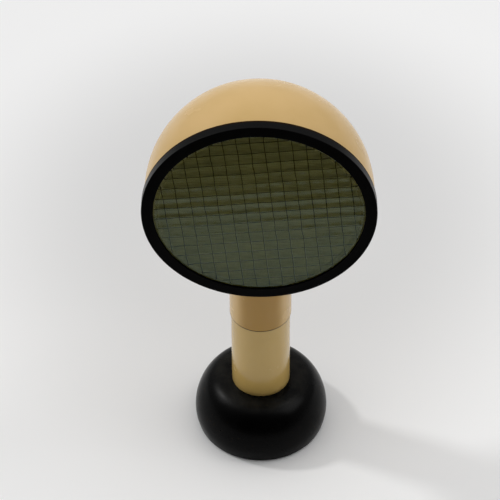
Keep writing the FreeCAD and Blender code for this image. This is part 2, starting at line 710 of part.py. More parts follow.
# ---------------------------------------------------------------- head
def make_neck():
    """The sleeve that hides the swivel, coped to the dome, and the plate that it hangs on."""
    height = "head_height - joint_height"
    low = {"z": "joint_height"}
    tube = primitive("Cylinder", "sleeve_outside", {"Radius": "sleeve_radius", "Height": height}, low)
    bore = primitive("Cylinder", "sleeve_inside", {"Radius": "sleeve_inner", "Height": height}, low)
    dome = primitive("Sphere", "sleeve_cope", {"Radius": "dome_radius + weld_gap"},
                     {"y": "dome_centre", "z": "head_height"})
    ring = cut_primitive("sleeve_ring", tube, bore)
    nodes.append(cut_primitive("neck_sleeve", ring, dome))

    plate = upright("neck_plate", [
        ("pivot_bore", "washer_top"),
        ("sleeve_inner - hole_gap", "washer_top"),
        ("sleeve_inner - hole_gap", "neck_plate_top"),
        ("pivot_bore", "neck_plate_top"),
    ])
    sketch = new_sketch(plate, "peg_hole", "XY_Plane", {"z": "neck_plate_top"})
    draw_circle(sketch, ("0", "0 - stop_circle"), "stop_radius + hole_gap")
    cut_by(plate, sketch, "neck_plate_thickness")
    peg = primitive("Cylinder", "stop_peg", {
        "Radius": "stop_radius",
        "Height": "neck_plate_thickness + washer_thickness - stop_gap",
    }, {"y": "0 - stop_circle", "z": "cap_top + stop_gap"})
    nodes.append(peg)


def make_dome():
    """The spun dome, open in front, with a hole at its pole and one down into the neck."""
    dome = lying("dome_shell", [
        ("mouth", "mouth_lip_radius"),
        ("mouth_inside", "mouth_lip_radius"),
        ("mouth_inside", "mouth_inside_radius"),
        ("pole_hole_inside", "pole_hole"),
        ("pole_hole_outside", "pole_hole"),
        ("mouth", "mouth_radius"),
    ], {2: ("dome_inner", 1), 4: ("dome_radius", -1)})
    sketch = new_sketch(dome, "neck_hole", "XY_Plane")
    draw_circle(sketch, ("0", "0"), "neck_hole_radius")
    cut_by(dome, sketch, "dome_radius")


def make_switch():
    """The switch housing clamped in the dome's pole, and its push button."""
    lying("switch_housing", [
        ("spigot_tip", "0"),
        ("chamber_front", "0"),
        ("chamber_front", "chamber_radius"),
        ("chamber_back", "chamber_radius"),
        ("chamber_back", "button_bore"),
        ("housing_back", "button_bore"),
        ("housing_back", "housing_radius - housing_round"),
        ("housing_back - housing_round", "housing_radius"),
        ("seat_rim", "housing_radius"),
        ("seat_root", "spigot_radius"),
        ("spigot_tip", "spigot_radius"),
    ], {6: ("housing_round", -1), 8: ("seat_radius", 1)})
    lying("switch_button", [
        ("plunger_front", "0"),
        ("button_back", "0"),
        ("button_back - button_crown", "button_radius"),
        ("chamber_back", "button_radius"),
        ("chamber_back", "collar_radius"),
        ("collar_front", "collar_radius"),
        ("collar_front", "button_plunger_radius"),
        ("plunger_front", "button_plunger_radius"),
    ], {1: ("button_curve", -1)})
    lying("holder_ring_nut", [
        ("ring_nut_front", "pole_hole"),
        ("ring_nut_back", "pole_hole"),
        ("ring_nut_back", "ring_nut_radius"),
        ("ring_nut_front", "ring_nut_radius"),
    ])


def make_lampholder():
    """The lampholder that screws onto the spigot, and the bulb in it."""
    lying("lampholder_body", [
        ("holder_front", "holder_bore_radius"),
        ("holder_bore_back", "holder_bore_radius"),
        ("holder_bore_back", "0"),
        ("holder_recess", "0"),
        ("holder_recess", "pole_hole"),
        ("holder_back", "pole_hole"),
        ("holder_back", "holder_radius"),
        ("holder_front + holder_skirt_length", "holder_radius"),
        ("holder_front", "holder_skirt_radius"),
    ])
    lying("lampholder_shell", [
        ("bulb_cap_front - seat_gap", "shell_inner"),
        ("contact_front", "shell_inner"),
        ("contact_front", "shell_radius"),
        ("bulb_cap_front - seat_gap", "shell_radius"),
    ])
    lying("centre_contact", [
        ("contact_front", "0"),
        ("holder_bore_back", "0"),
        ("holder_bore_back", "contact_radius"),
        ("contact_front", "contact_radius"),
    ])
    lying("bulb_cap", [
        ("bulb_cap_front", "0"),
        ("bulb_tip", "0"),
        ("bulb_tip", "bulb_tip_radius"),
        ("bulb_shoulder", "bulb_cap_radius"),
        ("bulb_cap_front", "bulb_cap_radius"),
    ])
    lying("bulb_glass", [
        ("bulb_front", "0"),
        ("bulb_front + bulb_wall", "0"),
        ("globe_neck_inner", "bulb_neck_inner"),
        ("bulb_cap_front", "bulb_neck_inner"),
        ("bulb_cap_front", "bulb_neck_radius"),
        ("globe_neck", "bulb_neck_radius"),
    ], {1: ("globe_inner_radius", 1), 5: ("bulb_radius", -1)})


# ---------------------------------------------------------------- bezel
def make_bezel():
    """The bezel ring with its glass, gasket, retaining ring, screws and spring clips."""
    ring = lying("bezel_ring", [
        ("face", "opening_radius"),
        ("face", "ring_radius - bezel_round"),
        ("face + bezel_round", "ring_radius"),
        ("bezel_back - bezel_back_round", "ring_radius"),
        ("bezel_back", "ring_radius - bezel_back_round"),
        ("bezel_back", "skirt_inner"),
        ("ledge", "skirt_inner"),
        ("ledge", "pocket_radius"),
        ("lip_back", "pocket_radius"),
        ("lip_back", "opening_radius"),
    ], {1: ("bezel_round", 1), 3: ("bezel_back_round", 1)})
    sketch = new_sketch(ring, "tapped_hole", "XZ_Plane", {"z": "0 - ledge"})
    draw_circle(sketch, ("0", "small_screw_circle"), "small_screw_radius + hole_gap")
    pocket = cut_by(ring, sketch, "small_screw_length + hole_gap", reverse=True)
    ring_of(ring, pocket, "small_screw_count", "Y_Axis")

    lying("glass_gasket", [
        ("lip_back", "glass_radius - gasket_cover"),
        ("lip_back", "gasket_radius"),
        ("ledge", "gasket_radius"),
        ("ledge", "glass_radius - gasket_cover"),
        ("glass_back", "glass_radius - gasket_cover"),
        ("glass_back", "glass_radius + weld_gap"),
        ("glass_front", "glass_radius + weld_gap"),
        ("glass_front", "glass_radius - gasket_cover"),
    ])
    lying("wired_glass", [
        ("glass_front", "0"),
        ("glass_front", "glass_radius"),
        ("glass_back", "glass_radius"),
        ("glass_back", "0"),
    ])
    retainer = lying("retaining_ring", [
        ("ledge", "retainer_inner"),
        ("ledge", "retainer_radius"),
        ("retainer_back", "retainer_radius"),
        ("retainer_back", "retainer_inner"),
    ])
    hole_circle(retainer, "retainer_hole", "small_screw_radius + hole_gap", "small_screw_circle",
                "small_screw_count", lies=True)
    head_back = "retainer_back + small_screw_head_height"
    tip = "retainer_back - small_screw_length"
    lying_fasteners("retainer_screws", [
        (tip, "0"),
        (head_back, "0"),
        (head_back, "small_screw_head_radius"),
        ("retainer_back", "small_screw_head_radius"),
        ("retainer_back", "small_screw_radius"),
        (tip, "small_screw_radius"),
    ], "small_screw_circle", "small_screw_count")
    make_clips()


def make_clips():
    """The spring clips: leaves on the retaining ring's back that reach into the mouth."""
    clips = new_body("bezel_clips", in_head=True)
    sketch = new_sketch(clips, "clip_section", "YZ_Plane")
    draw_outline(sketch, [
        ("retainer_back", "clip_outer - clip_foot"),
        ("retainer_back", "clip_outer"),
        ("retainer_back + clip_length", "clip_outer"),
        ("retainer_back + clip_length", "clip_outer - clip_thickness"),
        ("retainer_back + clip_thickness", "clip_outer - clip_thickness"),
        ("retainer_back + clip_thickness", "clip_outer - clip_foot"),
    ])
    leaf = clips.newObject("PartDesign::Pad", "clip_leaf")
    leaf.Profile = sketch
    leaf.SideType = "Symmetric"
    leaf.setExpression("Length", bound("clip_width"))
    doc.recompute()
    ring_of(clips, leaf, "clip_count", "Y_Axis")


def make_mesh():
    """The square wire mesh inside the glass: two crossed layers of straight wires."""
    pitch = number("mesh_pitch")
    wire = number("wire_radius")
    reach = number("glass_radius - mesh_edge")
    middle = number("glass_front + glass_thickness / 2")
    turn = number("mesh_angle")
    layers = [
        (FreeCAD.Vector(0, 0, 1), FreeCAD.Vector(1, 0, 0), -wire, number("mesh_shift_across")),
        (FreeCAD.Vector(1, 0, 0), FreeCAD.Vector(0, 0, 1), wire, number("mesh_shift_up")),
    ]
    wires = []
    for along, across, depth, shift in layers:
        for step in range(-int(reach // pitch) - 1, int(reach // pitch) + 2):
            offset = step * pitch + shift
            if abs(offset) >= reach - pitch / 4:
                continue
            half = math.sqrt(reach ** 2 - offset ** 2)
            start = across * offset - along * half + FreeCAD.Vector(0, middle + depth, 0)
            wires.append(Part.makeCylinder(wire, 2 * half, start, along))
    mesh = doc.addObject("Part::Feature", "wire_mesh")
    mesh.Shape = Part.makeCompound(wires)
    spin = FreeCAD.Rotation(FreeCAD.Vector(0, 1, 0), turn)
    mesh.Placement = FreeCAD.Placement(FreeCAD.Vector(0, 0, number("head_height")), spin)
    nodes.append(mesh)


# ---------------------------------------------------------------- checks and export
def check_document():
    """Stop if any object failed to recompute or any sub-part is not a valid solid."""
    for item in doc.Objects:
        if "Invalid" in item.State or "Error" in item.State:
            raise RuntimeError(f"{item.Label} is {item.State}")
    for node in nodes:
        shape = node.Shape
        if shape.isNull() or not shape.isValid() or not shape.Solids:
            raise RuntimeError(node.Label + " has no valid solid")


def export_nodes():
    """Write each sub-part to its own STEP file, named by its label."""
    for node in nodes:
        node.Shape.exportStep(f"parts/{node.Label}.step")


make_base()
make_gland()
make_stem()
make_swivel()
make_neck()
make_dome()
make_switch()
make_lampholder()
make_bezel()
make_mesh()
doc.recompute()
check_document()
export_nodes()
print(len(nodes), "sub-parts written")
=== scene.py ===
"""Dresses the tabletop searchlight lamp: its enamel, rubber, glass and small fittings, and the studio.

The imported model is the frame. Each operator makes one group of pieces as surfaces worked out with
numpy, gives them their finish and sets them on the body that carries them. Lengths are in metres,
+Z is up and the glass faces -Y.
"""
import json
import math

import bmesh
import bpy
import numpy as np
from mathutils import Matrix, Vector


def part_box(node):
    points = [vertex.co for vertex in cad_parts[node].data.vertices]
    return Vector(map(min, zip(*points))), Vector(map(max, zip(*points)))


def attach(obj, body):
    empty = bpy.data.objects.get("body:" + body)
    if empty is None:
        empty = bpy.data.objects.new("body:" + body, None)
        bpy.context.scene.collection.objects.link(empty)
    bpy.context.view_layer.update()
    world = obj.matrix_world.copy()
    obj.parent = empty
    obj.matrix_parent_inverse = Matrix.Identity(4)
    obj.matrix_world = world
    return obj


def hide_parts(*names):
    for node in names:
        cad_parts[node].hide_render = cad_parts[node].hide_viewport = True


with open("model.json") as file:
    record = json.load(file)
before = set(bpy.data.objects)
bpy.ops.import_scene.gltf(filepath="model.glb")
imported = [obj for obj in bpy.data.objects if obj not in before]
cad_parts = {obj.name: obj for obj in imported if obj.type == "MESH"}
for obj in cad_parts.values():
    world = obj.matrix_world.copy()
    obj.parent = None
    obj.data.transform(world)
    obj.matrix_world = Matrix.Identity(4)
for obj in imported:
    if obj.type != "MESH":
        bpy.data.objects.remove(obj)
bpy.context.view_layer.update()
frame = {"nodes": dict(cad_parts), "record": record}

bl_info = {
    "name": "Searchlight lamp",
    "version": (1, 0, 0),
    "blender": (4, 5, 0),
    "location": "3D View > Sidebar > Lamp",
    "description": "Makes the pieces and finishes of a tabletop searchlight lamp",
    "category": "Add Mesh",
}

MM = 0.001
SLOTS = {row["node"]: row["material_slot"] for row in frame["record"]["subparts"]}
BODY = {node: body for body, nodes in frame["record"]["behaviour"]["bodies"].items()
        for node in nodes}
BEZEL_LOW, BEZEL_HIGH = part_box("bezel_ring")
DOME_LOW, DOME_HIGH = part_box("dome_shell")
BASE_LOW, BASE_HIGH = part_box("base_moulding")
STEM_LOW, STEM_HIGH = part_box("stem_tube")
SLEEVE_LOW, SLEEVE_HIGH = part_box("neck_sleeve")
GLASS_LOW, GLASS_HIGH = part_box("wired_glass")
HEAD_Z = (BEZEL_LOW.z + BEZEL_HIGH.z) / 2
# the wire mesh lies askew in the glass, and a little off its centre across and upwards
MESH_TURN = math.radians(5.5)
MESH_SHIFT = (0.6 * MM, 0.7 * MM)


# ---------------------------------------------------------------- colour and nodes
def linear(code):
    """An sRGB hex code as linear RGBA: c / 12.92 up to 0.04045, else ((c + 0.055) / 1.055)^2.4."""
    parts = [int(code[i:i + 2], 16) / 255 for i in (0, 2, 4)]
    return [c / 12.92 if c <= 0.04045 else ((c + 0.055) / 1.055) ** 2.4 for c in parts] + [1.0]


def add(tree, kind, settings=None, links=None):
    """Adds a node: settings are its own options or its inputs' values, links feed its inputs."""
    node = tree.nodes.new(kind)
    for key, value in (settings or {}).items():
        if isinstance(key, str) and hasattr(node, key):
            setattr(node, key, value)
        else:
            node.inputs[key].default_value = value
    for key, source in (links or {}).items():
        tree.links.new(source, node.inputs[key])
    return node


def empty_tree(owner):
    """The node tree of a new material or world, emptied."""
    owner.use_nodes = True
    owner.node_tree.nodes.clear()
    return owner.node_tree


def start(name, settings):
    """A new material with one Principled shader, and the coordinates its patterns lie in.

    Returns the material, its tree, the shader and the object's own coordinates.
    """
    material = bpy.data.materials.new(name)
    tree = empty_tree(material)
    shader = add(tree, "ShaderNodeBsdfPrincipled", settings)
    add(tree, "ShaderNodeOutputMaterial", links={"Surface": shader.outputs["BSDF"]})
    return material, tree, shader, add(tree, "ShaderNodeTexCoord").outputs["Object"]


def per_mm(size):
    """The texture scale at which a pattern's features are about size millimetres."""
    return 1000.0 / size


def mottle(tree, shader, place, dark, light, size, detail=3.0):
    """Base colour that drifts between two near shades over about size mm; returns the colour."""
    clouds = add(tree, "ShaderNodeTexNoise", {"Scale": per_mm(size), "Detail": detail},
                 {"Vector": place})
    ramp = add(tree, "ShaderNodeValToRGB", links={"Fac": clouds.outputs["Fac"]})
    for end, position, code in zip(ramp.color_ramp.elements, (0.3, 0.7), (dark, light)):
        end.position = position
        end.color = linear(code)
    tree.links.new(ramp.outputs["Color"], shader.inputs["Base Color"])
    return ramp.outputs["Color"]


def vary(tree, shader, place, low, high, size):
    """Roughness that wanders from low to high over about size millimetres."""
    clouds = add(tree, "ShaderNodeTexNoise", {"Scale": per_mm(size), "Detail": 4.0},
                 {"Vector": place})
    spread = add(tree, "ShaderNodeMapRange", {"From Min": 0.3, "From Max": 0.7,
                                              "To Min": low, "To Max": high},
                 {"Value": clouds.outputs["Fac"]})
    tree.links.new(spread.outputs["Result"], shader.inputs["Roughness"])


def relief(tree, shader, place, size, depth, strength=1.0, detail=2.0):
    """A grain of about size millimetres across and depth millimetres deep, as bump."""
    grain = add(tree, "ShaderNodeTexNoise", {"Scale": per_mm(size), "Detail": detail},
                {"Vector": place})
    bump = add(tree, "ShaderNodeBump", {"Strength": strength, "Distance": depth * MM},
               {"Height": grain.outputs["Fac"]})
    tree.links.new(bump.outputs["Normal"], shader.inputs["Normal"])


def finish(name, settings, shades=None, sheen=None, grain=None):
    """A finish of plain patterns: each is what mottle, vary or relief takes after place."""
    material, tree, shader, place = start(name, settings)
    for pattern, given in ((mottle, shades), (vary, sheen), (relief, grain)):
        if given:
            pattern(tree, shader, place, *given)
    return material


# ---------------------------------------------------------------- finishes
def cream_enamel(name, dark, light, coat=0.0, dome=False, neck=False):
    """Cream stoving enamel sprayed on steel.

    It looks even and silky, glossier at a slant, with a fine orange peel and faint clouds of
    shade. Inside the dome the paint is dull olive black. On the neck the front is painted
    more brown and darker, as painted shade where the head above overhangs it.
    """
    material, tree, shader, place = start(name, {
        "IOR": 1.5, "Specular IOR Level": 0.17, "Coat Weight": coat, "Coat Roughness": 0.08})
    colour = mottle(tree, shader, place, dark, light, 55.0)
    if dome:
        # the distance from the dome's centre tells its inner side from its outer side
        head = bpy.context.scene.lamp_head
        centre = (0.0, head.dome_centre, HEAD_Z)
        away = add(tree, "ShaderNodeVectorMath", {"operation": "DISTANCE", 1: centre}, {0: place})
        inner = add(tree, "ShaderNodeMath", {
            "operation": "LESS_THAN", 1: DOME_HIGH.x - head.dome_wall / 2},
            {0: away.outputs["Value"]})
        painted = add(tree, "ShaderNodeMix", {"data_type": "RGBA", 7: linear("26261C")},
                      {0: inner.outputs[0], 6: colour})
        colour = painted.outputs[2]
    if neck:
        # painted shade: the neck's front is mixed towards dark brown, where the head above overhangs
        # it
        split = add(tree, "ShaderNodeSeparateXYZ", links={"Vector": place})
        front = add(tree, "ShaderNodeMapRange", {
            "interpolation_type": "SMOOTHSTEP", "From Min": -28.5 * MM, "From Max": -19 * MM,
            "To Min": 0.9, "To Max": 0.0}, {"Value": split.outputs["Y"]})
        painted_neck_shade = add(tree, "ShaderNodeMix", {"data_type": "RGBA", 7: linear("A67C26")},
                      {0: front.outputs["Result"], 6: colour})
        colour = painted_neck_shade.outputs[2]
    tree.links.new(colour, shader.inputs["Base Color"])
    vary(tree, shader, place, 0.2, 0.28, 30.0)
    relief(tree, shader, place, 1.3, 0.006, 0.5)
    return material


def moulded_rubber():
    """Black moulded rubber: matt to satin, with handling marks that change its sheen.

    A thin, patchy bloom of warm grey dust lies round its crest.
    """
    material, tree, shader, place = start("black_moulded_rubber", {"Specular IOR Level": 0.05})
    clean = mottle(tree, shader, place, "010101", "030303", 35.0, 5.0)
    split = add(tree, "ShaderNodeSeparateXYZ", links={"Vector": place})
    upper = add(tree, "ShaderNodeMapRange", {
        "interpolation_type": "SMOOTHSTEP", "From Min": BASE_HIGH.z - 6 * MM,
        "From Max": BASE_HIGH.z - 0.5 * MM}, {"Value": split.outputs["Z"]})
    patches = add(tree, "ShaderNodeTexNoise", {"Scale": per_mm(16), "Detail": 4.0},
                  {"Vector": place})
    cover = add(tree, "ShaderNodeMapRange", {"From Min": 0.35, "From Max": 0.65},
                {"Value": patches.outputs["Fac"]})
    dust = add(tree, "ShaderNodeMath", {"operation": "MULTIPLY"},
               {0: upper.outputs["Result"], 1: cover.outputs["Result"]})
    dusty = add(tree, "ShaderNodeMix", {"data_type": "RGBA", 7: linear("191815")},
                {0: dust.outputs[0], 6: clean})
    tree.links.new(dusty.outputs[2], shader.inputs["Base Color"])
    vary(tree, shader, place, 0.2, 0.32, 22.0)
    relief(tree, shader, place, 0.7, 0.02, 0.5, 4.0)
    return material


def glass_front():
    """Cast glass with a smoky olive tint: a liquid surface that is not quite flat."""
    material, tree, shader, place = start("smoky_cast_glass_front", {
        "Base Color": linear("C8CDB4"), "Roughness": 0.09, "IOR": 1.5,
        "Specular IOR Level": 0.16, "Specular Tint": linear("BDE4CB"),
        "Transmission Weight": 1.0})
    # the rollers leave lines along X, about 14 mm long and under a millimetre high
    stretch = add(tree, "ShaderNodeMapping", {"Scale": (0.06, 1.0, 1.0)}, {"Vector": place})
    relief(tree, shader, stretch.outputs["Vector"], 0.9, 0.012, 0.8)
    return material


def glass_back():
    """The back of the cast glass: a fine hammered figure that scatters what lies behind it."""
    material, tree, shader, place = start("smoky_cast_glass_back", {
        "Roughness": 0.55, "IOR": 1.5, "Specular IOR Level": 0.3, "Transmission Weight": 0.45})
    stretch = add(tree, "ShaderNodeMapping", {"Scale": (0.12, 1.0, 1.0)}, {"Vector": place})
    mottle(tree, shader, stretch.outputs["Vector"], "827A26", "ACA048", 1.6, 4.0)
    relief(tree, shader, place, 2.2, 0.3, 0.8)
    return material


def black_enamel(name, specular, low, high):
    """Black stoving enamel on a turned aluminium ring: deep black, satin, slightly dusty."""
    return finish(name, {"Specular IOR Level": specular}, ("010101", "030304", 25.0),
                  (low, high, 18.0), (0.9, 0.01, 0.5))


def metal(name, dark, light, low, high):
    """A bare metal: shade and sheen that wander a little, and a machined grain."""
    return finish(name, {"Metallic": 1.0}, (dark, light, 8.0), (low, high, 5.0),
                  (0.6, 0.008, 0.6))


def plain(name, dark, light, low, high, size, specular=0.5):
    """A non-metal with two near shades and a wandering sheen."""
    return finish(name, {"Specular IOR Level": specular}, (dark, light, size),
                  (low, high, size), (size / 6, 0.01, 0.4))


def finishes():
    """Every material slot of the record with its finish."""
    return {
        "base_rubber": moulded_rubber(),
        # left as cast in sand: dark, rough and sandy
        "ballast_iron": finish("sand_cast_grey_iron", {"Metallic": 0.6},
                               ("2A2826", "45423E", 3.0, 6.0), (0.6, 0.85, 2.5),
                               (1.4, 0.25, 0.9, 6.0)),
        # pale, even and faintly blue, as zinc is
        "plate_steel": metal("zinc_plated_sheet_steel", "8C8F92", "A8ABAD", 0.3, 0.45),
        # no shine, and a soft nap of short fibres
        "foot_felt": finish("black_wool_felt", {
            "Roughness": 0.95, "Specular IOR Level": 0.1, "Sheen Weight": 0.4,
            "Sheen Roughness": 0.6}, ("0B0B0C", "1A1A1C", 1.2, 6.0), None, (0.8, 0.25, 0.9, 6.0)),
        # the same, but brighter, as on small turned parts
        "screw_steel": metal("zinc_plated_screw_steel", "9A9C9E", "B4B6B8", 0.25, 0.4),
        # dull and even, as moulded nylon is
        "gland_plastic": plain("black_nylon", "0C0C0D", "141415", 0.4, 0.55, 4.0),
        # silky and brighter at a slant, under a thin clear coat
        "stem_enamel": cream_enamel("cream_enamel_on_steel_tube", "C2A25E", "CAAA66", 0.5),
        # grey and bright, with the lathe's fine grain
        "flange_steel": metal("machined_mild_steel", "7D7F80", "969899", 0.28, 0.42),
        # silvery and soft in its shine
        "cap_aluminium": metal("turned_aluminium", "B3B5B8", "C8CACD", 0.25, 0.38),
        # yellow and bright
        "nipple_brass": metal("turned_brass", "A88A4A", "C2A45C", 0.22, 0.36),
        # dry and slightly mottled, like pressed card
        "fibre": plain("red_vulcanised_fibre", "5E2415", "74301D", 0.5, 0.65, 3.0),
        "dome_enamel": cream_enamel("cream_enamel_on_spun_steel", "CCAA6F", "D4B27A", dome=True),
        # glossy, with the faint swirl of its filler
        "bakelite": plain("dark_brown_bakelite", "150C08", "22130C", 0.18, 0.3, 7.0),
        # a wet-looking white glaze
        "ceramic_holder": plain("white_glazed_porcelain", "DAD8D0", "E6E4DD", 0.1, 0.2, 12.0),
        # thin and blown: nearly unseen but for its edge and its reflections
        "bulb_glass": finish("clear_blown_glass", {
            "Base Color": linear("FBFBF6"), "Roughness": 0.0, "IOR": 1.5,
            "Transmission Weight": 1.0}, grain=(14.0, 0.02, 0.3)),
        "bezel_enamel": black_enamel("satin_black_enamel_on_aluminium", 0.02, 0.3, 0.42),
        "glass_wired": glass_front(),
        # dull, with the brown scale that casting the glass round it leaves
        "mesh_steel": finish("drawn_steel_wire", {"Roughness": 0.85, "Specular IOR Level": 0.02},
                             ("3C360A", "504812", 4.0)),
        # dull, with a fine grain from the die
        "gasket_rubber": finish("extruded_black_rubber", {
            "Roughness": 0.7, "Specular IOR Level": 0.2}, ("0A0A0A", "101010", 6.0), None,
            (0.5, 0.02, 0.6)),
        # dark blue-grey, from tempering in oil
        "spring_steel": metal("blued_spring_steel", "3A3F4A", "4C5260", 0.25, 0.4),
    }


# ---------------------------------------------------------------- surfaces
def around(count):
    """Equal angles round a full turn, count of them from 0."""
    return np.arange(count) * 2 * math.pi / count


def ease(value, low, high):
    """A smooth step from 0 at low to 1 at high: t^2 (3 - 2 t)."""
    t = np.clip((value - low) / (high - low), 0, 1)
    return t ** 2 * (3 - 2 * t)


def arc(begin, end, radius, side, count):
    """Points on the short arc of a circle through begin and end, which are pairs.

    The centre lies off the chord's middle by sqrt(radius^2 - (chord / 2)^2); side +1 bulges the
    arc to the left of the way from begin to end, -1 to the right. end itself is left out.
    """
    a, b = np.array(begin, float), np.array(end, float)
    way = b - a
    chord = np.hypot(*way)
    left = np.array([-way[1], way[0]]) / chord
    centre = (a + b) / 2 - left * side * math.sqrt(max(radius ** 2 - chord ** 2 / 4, 0.0))
    first = math.atan2(*(a - centre)[::-1])
    swing = math.atan2(*(b - centre)[::-1]) - first
    swing = (swing + math.pi) % (2 * math.pi) - math.pi
    angle = first + swing * np.arange(count) / count
    return centre + radius * np.stack([np.cos(angle), np.sin(angle)], 1)


def soften(corners, steps=5):
    """A closed outline with each corner rounded: rows of (x, y, rounding).

    A rounding r at a corner with half angle h starts r / tan(h) before it, and its centre is
    r / sin(h) from it along the bisector. A point just outside each end of the arc keeps the
    shading of the flats flat.
    """
    points = np.array(corners, float)
    place, rounding = points[:, :2], points[:, 2]
    rows = []
    for i, corner in enumerate(place):
        r = rounding[i]
        before, after = place[i - 1] - corner, place[(i + 1) % len(place)] - corner
        u, v = before / np.hypot(*before), after / np.hypot(*after)
        if r <= 0 or abs(u @ v + 1) < 1e-9:
            rows.append(corner[None])
            continue
        half = math.acos(np.clip(u @ v, -1, 1)) / 2
        reach = r / math.tan(half)
        bisector = (u + v) / np.hypot(*(u + v))
        centre = corner + bisector * r / math.sin(half)
        first, last = corner + u * reach, corner + v * reach
        t = np.linspace(0, 1, steps + 1)[:, None]
        from_centre = (first - centre) * (1 - t) + (last - centre) * t
        from_centre *= r / np.hypot(*from_centre.T)[:, None]
        rows.append(np.vstack([first + u * r * 0.4, centre + from_centre, last + v * r * 0.4]))
    return np.vstack(rows)


def turned(outline, count, height=None):
    """Turns an outline of (radius, distance) pairs about +Z, or about +Y at a height.

    Point (r, d) becomes (r cos a, r sin a, d) about +Z, or (r cos a, d, height + r sin a) about
    +Y, for count equal angles a.
    """
    angle = around(count)
    r, d = np.asarray(outline, float).T[:, :, None]
    u, v, along = r * np.cos(angle), r * np.sin(angle), d + 0 * angle
    return np.stack([u, v, along] if height is None else [u, along, v + height], 2)


def tube(path, radius, count, closed=False):
    """A round bar along a path of points; an open path gets closed ends.

    A point of ring i is path_i + radius (cos a * n_i + sin a * b_i), with n_i and b_i at right
    angles to the path. The first and last rings of an open path shrink to the path itself.
    """
    path = np.asarray(path, float)
    along = np.roll(path, -1, 0) - np.roll(path, 1, 0) if closed else np.gradient(path, axis=0)
    along /= np.linalg.norm(along, axis=1)[:, None]
    guide = np.eye(3)[np.argmin(np.abs(along).mean(0))]
    normal = np.cross(along, guide)
    normal /= np.linalg.norm(normal, axis=1)[:, None]
    binormal = np.cross(along, normal)
    rows = list(range(len(path))) if closed else [0, *range(len(path)), len(path) - 1]
    size = np.full(len(rows), radius)
    if not closed:
        size[[0, -1]] = 0
    angle = around(count)[None, :, None]
    ring = np.cos(angle) * normal[rows][:, None] + np.sin(angle) * binormal[rows][:, None]
    return path[rows][:, None] + size[:, None, None] * ring


def disc(radius, line_across, line_up):
    """Square grid lines from -1 to 1 drawn onto a disc, as its two coordinates.

    x = radius u sqrt(1 - v^2 / 2) and z = radius v sqrt(1 - u^2 / 2).
    """
    u, v = np.meshgrid(line_across, line_up, indexing="ij")
    return radius * u * np.sqrt(1 - v ** 2 / 2), radius * v * np.sqrt(1 - u ** 2 / 2)


def spin(u, v, angle):
    """The point (u, v) turned by an angle: (u cos - v sin, u sin + v cos)."""
    return u * math.cos(angle) - v * math.sin(angle), u * math.sin(angle) + v * math.cos(angle)


def plate(front, back):
    """The grids of a plate between two like grids of points: its two faces and its edge."""
    edge = [np.concatenate([side[:, 0], side[-1, 1:], side[-2::-1, -1], side[0, -2:0:-1]])
            for side in (front, back)]
    return [(front, False, False), (back, False, False), (np.stack(edge), False, True)]


def across_axis(grid, scale, height=HEAD_Z):
    """Scales a grid of points outwards from the line along +Y at a height."""
    reach = (grid - np.array([0.0, 0.0, height])) * np.array([1.0, 0.0, 1.0])
    return grid + reach * (scale[..., None] - 1)


def smooth(points, count):
    """A soft line through points: the quadratic B-spline's curve for the same corners."""
    corners = np.vstack([2 * points[0] - points[1], points, 2 * points[-1] - points[-2]])
    spans = len(corners) - 2
    t = np.linspace(0, spans - 1e-9, count)
    i, f = np.floor(t).astype(int), (t % 1)[:, None]
    line = (corners[i] * (1 - f) ** 2 + corners[i + 1] * (1 + 2 * f * (1 - f))
            + corners[i + 2] * f ** 2) / 2
    line[0], line[-1] = points[0], points[-1]
    return line


def quads(rows, columns, close_rows, close_columns):
    """The four-cornered faces of a grid of rows x columns points, closed round as asked."""
    i = np.arange(rows if close_rows else rows - 1)[:, None]
    j = np.arange(columns if close_columns else columns - 1)[None]
    i2, j2 = (i + 1) % rows, (j + 1) % columns
    corners = [i * columns + j, i * columns + j2, i2 * columns + j2, i2 * columns + j]
    return np.stack([c.ravel() for c in corners], 1)


# ---------------------------------------------------------------- pieces
def put(name, data):
    """A new object in the scene."""
    item = bpy.data.objects.new(name, data)
    bpy.context.scene.collection.objects.link(item)
    return item


def sheet(name, corners):
    """A new object of one flat face with four corners."""
    mesh = bpy.data.meshes.new(name)
    mesh.from_pydata(corners, [], [(0, 1, 2, 3)])
    return put(name, mesh)


def closed_mesh(name, parts):
    """A mesh from grids of points: parts is a list of (points, close_rows, close_columns).

    Points that coincide are merged, so poles and seams close, and the faces are turned outwards.
    """
    points, faces, offset = [], [], 0
    for grid, close_rows, close_columns in parts:
        rows, columns = grid.shape[:2]
        points.append(grid.reshape(-1, 3))
        faces.append(quads(rows, columns, close_rows, close_columns) + offset)
        offset += rows * columns
    mesh = bpy.data.meshes.new(name)
    mesh.from_pydata(np.vstack(points), [], np.vstack(faces))
    shape = bmesh.new()
    shape.from_mesh(mesh)
    bmesh.ops.remove_doubles(shape, verts=shape.verts, dist=1e-6)
    bmesh.ops.recalc_face_normals(shape, faces=shape.faces)
    shape.to_mesh(mesh)
    shape.free()
    return mesh


def make_piece(name, parts, node, stands_for=True):
    """Makes one piece from grids and sets it on its body, with the finish of its node's slot."""
    mesh = closed_mesh(name, parts)
    mesh.shade_smooth()
    mesh.set_sharp_from_angle(angle=math.radians(40))
    mesh.materials.append(bpy.data.materials[bpy.context.scene["finish_" + SLOTS[node]]])
    piece = put(name, mesh)
    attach(piece, BODY[node])
    if stands_for:
        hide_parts(node)
    return piece


def drill(piece, begin, end, radius):
    """Cuts a round hole through a piece, from begin to end."""
    mesh = closed_mesh("cutter", [(tube(np.linspace(begin, end, 3), radius, 64), False, True)])
    cutter = put("cutter", mesh)
    hole = piece.modifiers.new("hole", "BOOLEAN")
    hole.object = cutter
    hole.operation = "DIFFERENCE"
    ready = piece.evaluated_get(bpy.context.evaluated_depsgraph_get())
    cut = bpy.data.meshes.new_from_object(ready)
    piece.modifiers.clear()
    piece.data = cut
    cut.set_sharp_from_angle(angle=math.radians(40))
    bpy.data.objects.remove(cutter)
    bpy.data.meshes.remove(mesh)


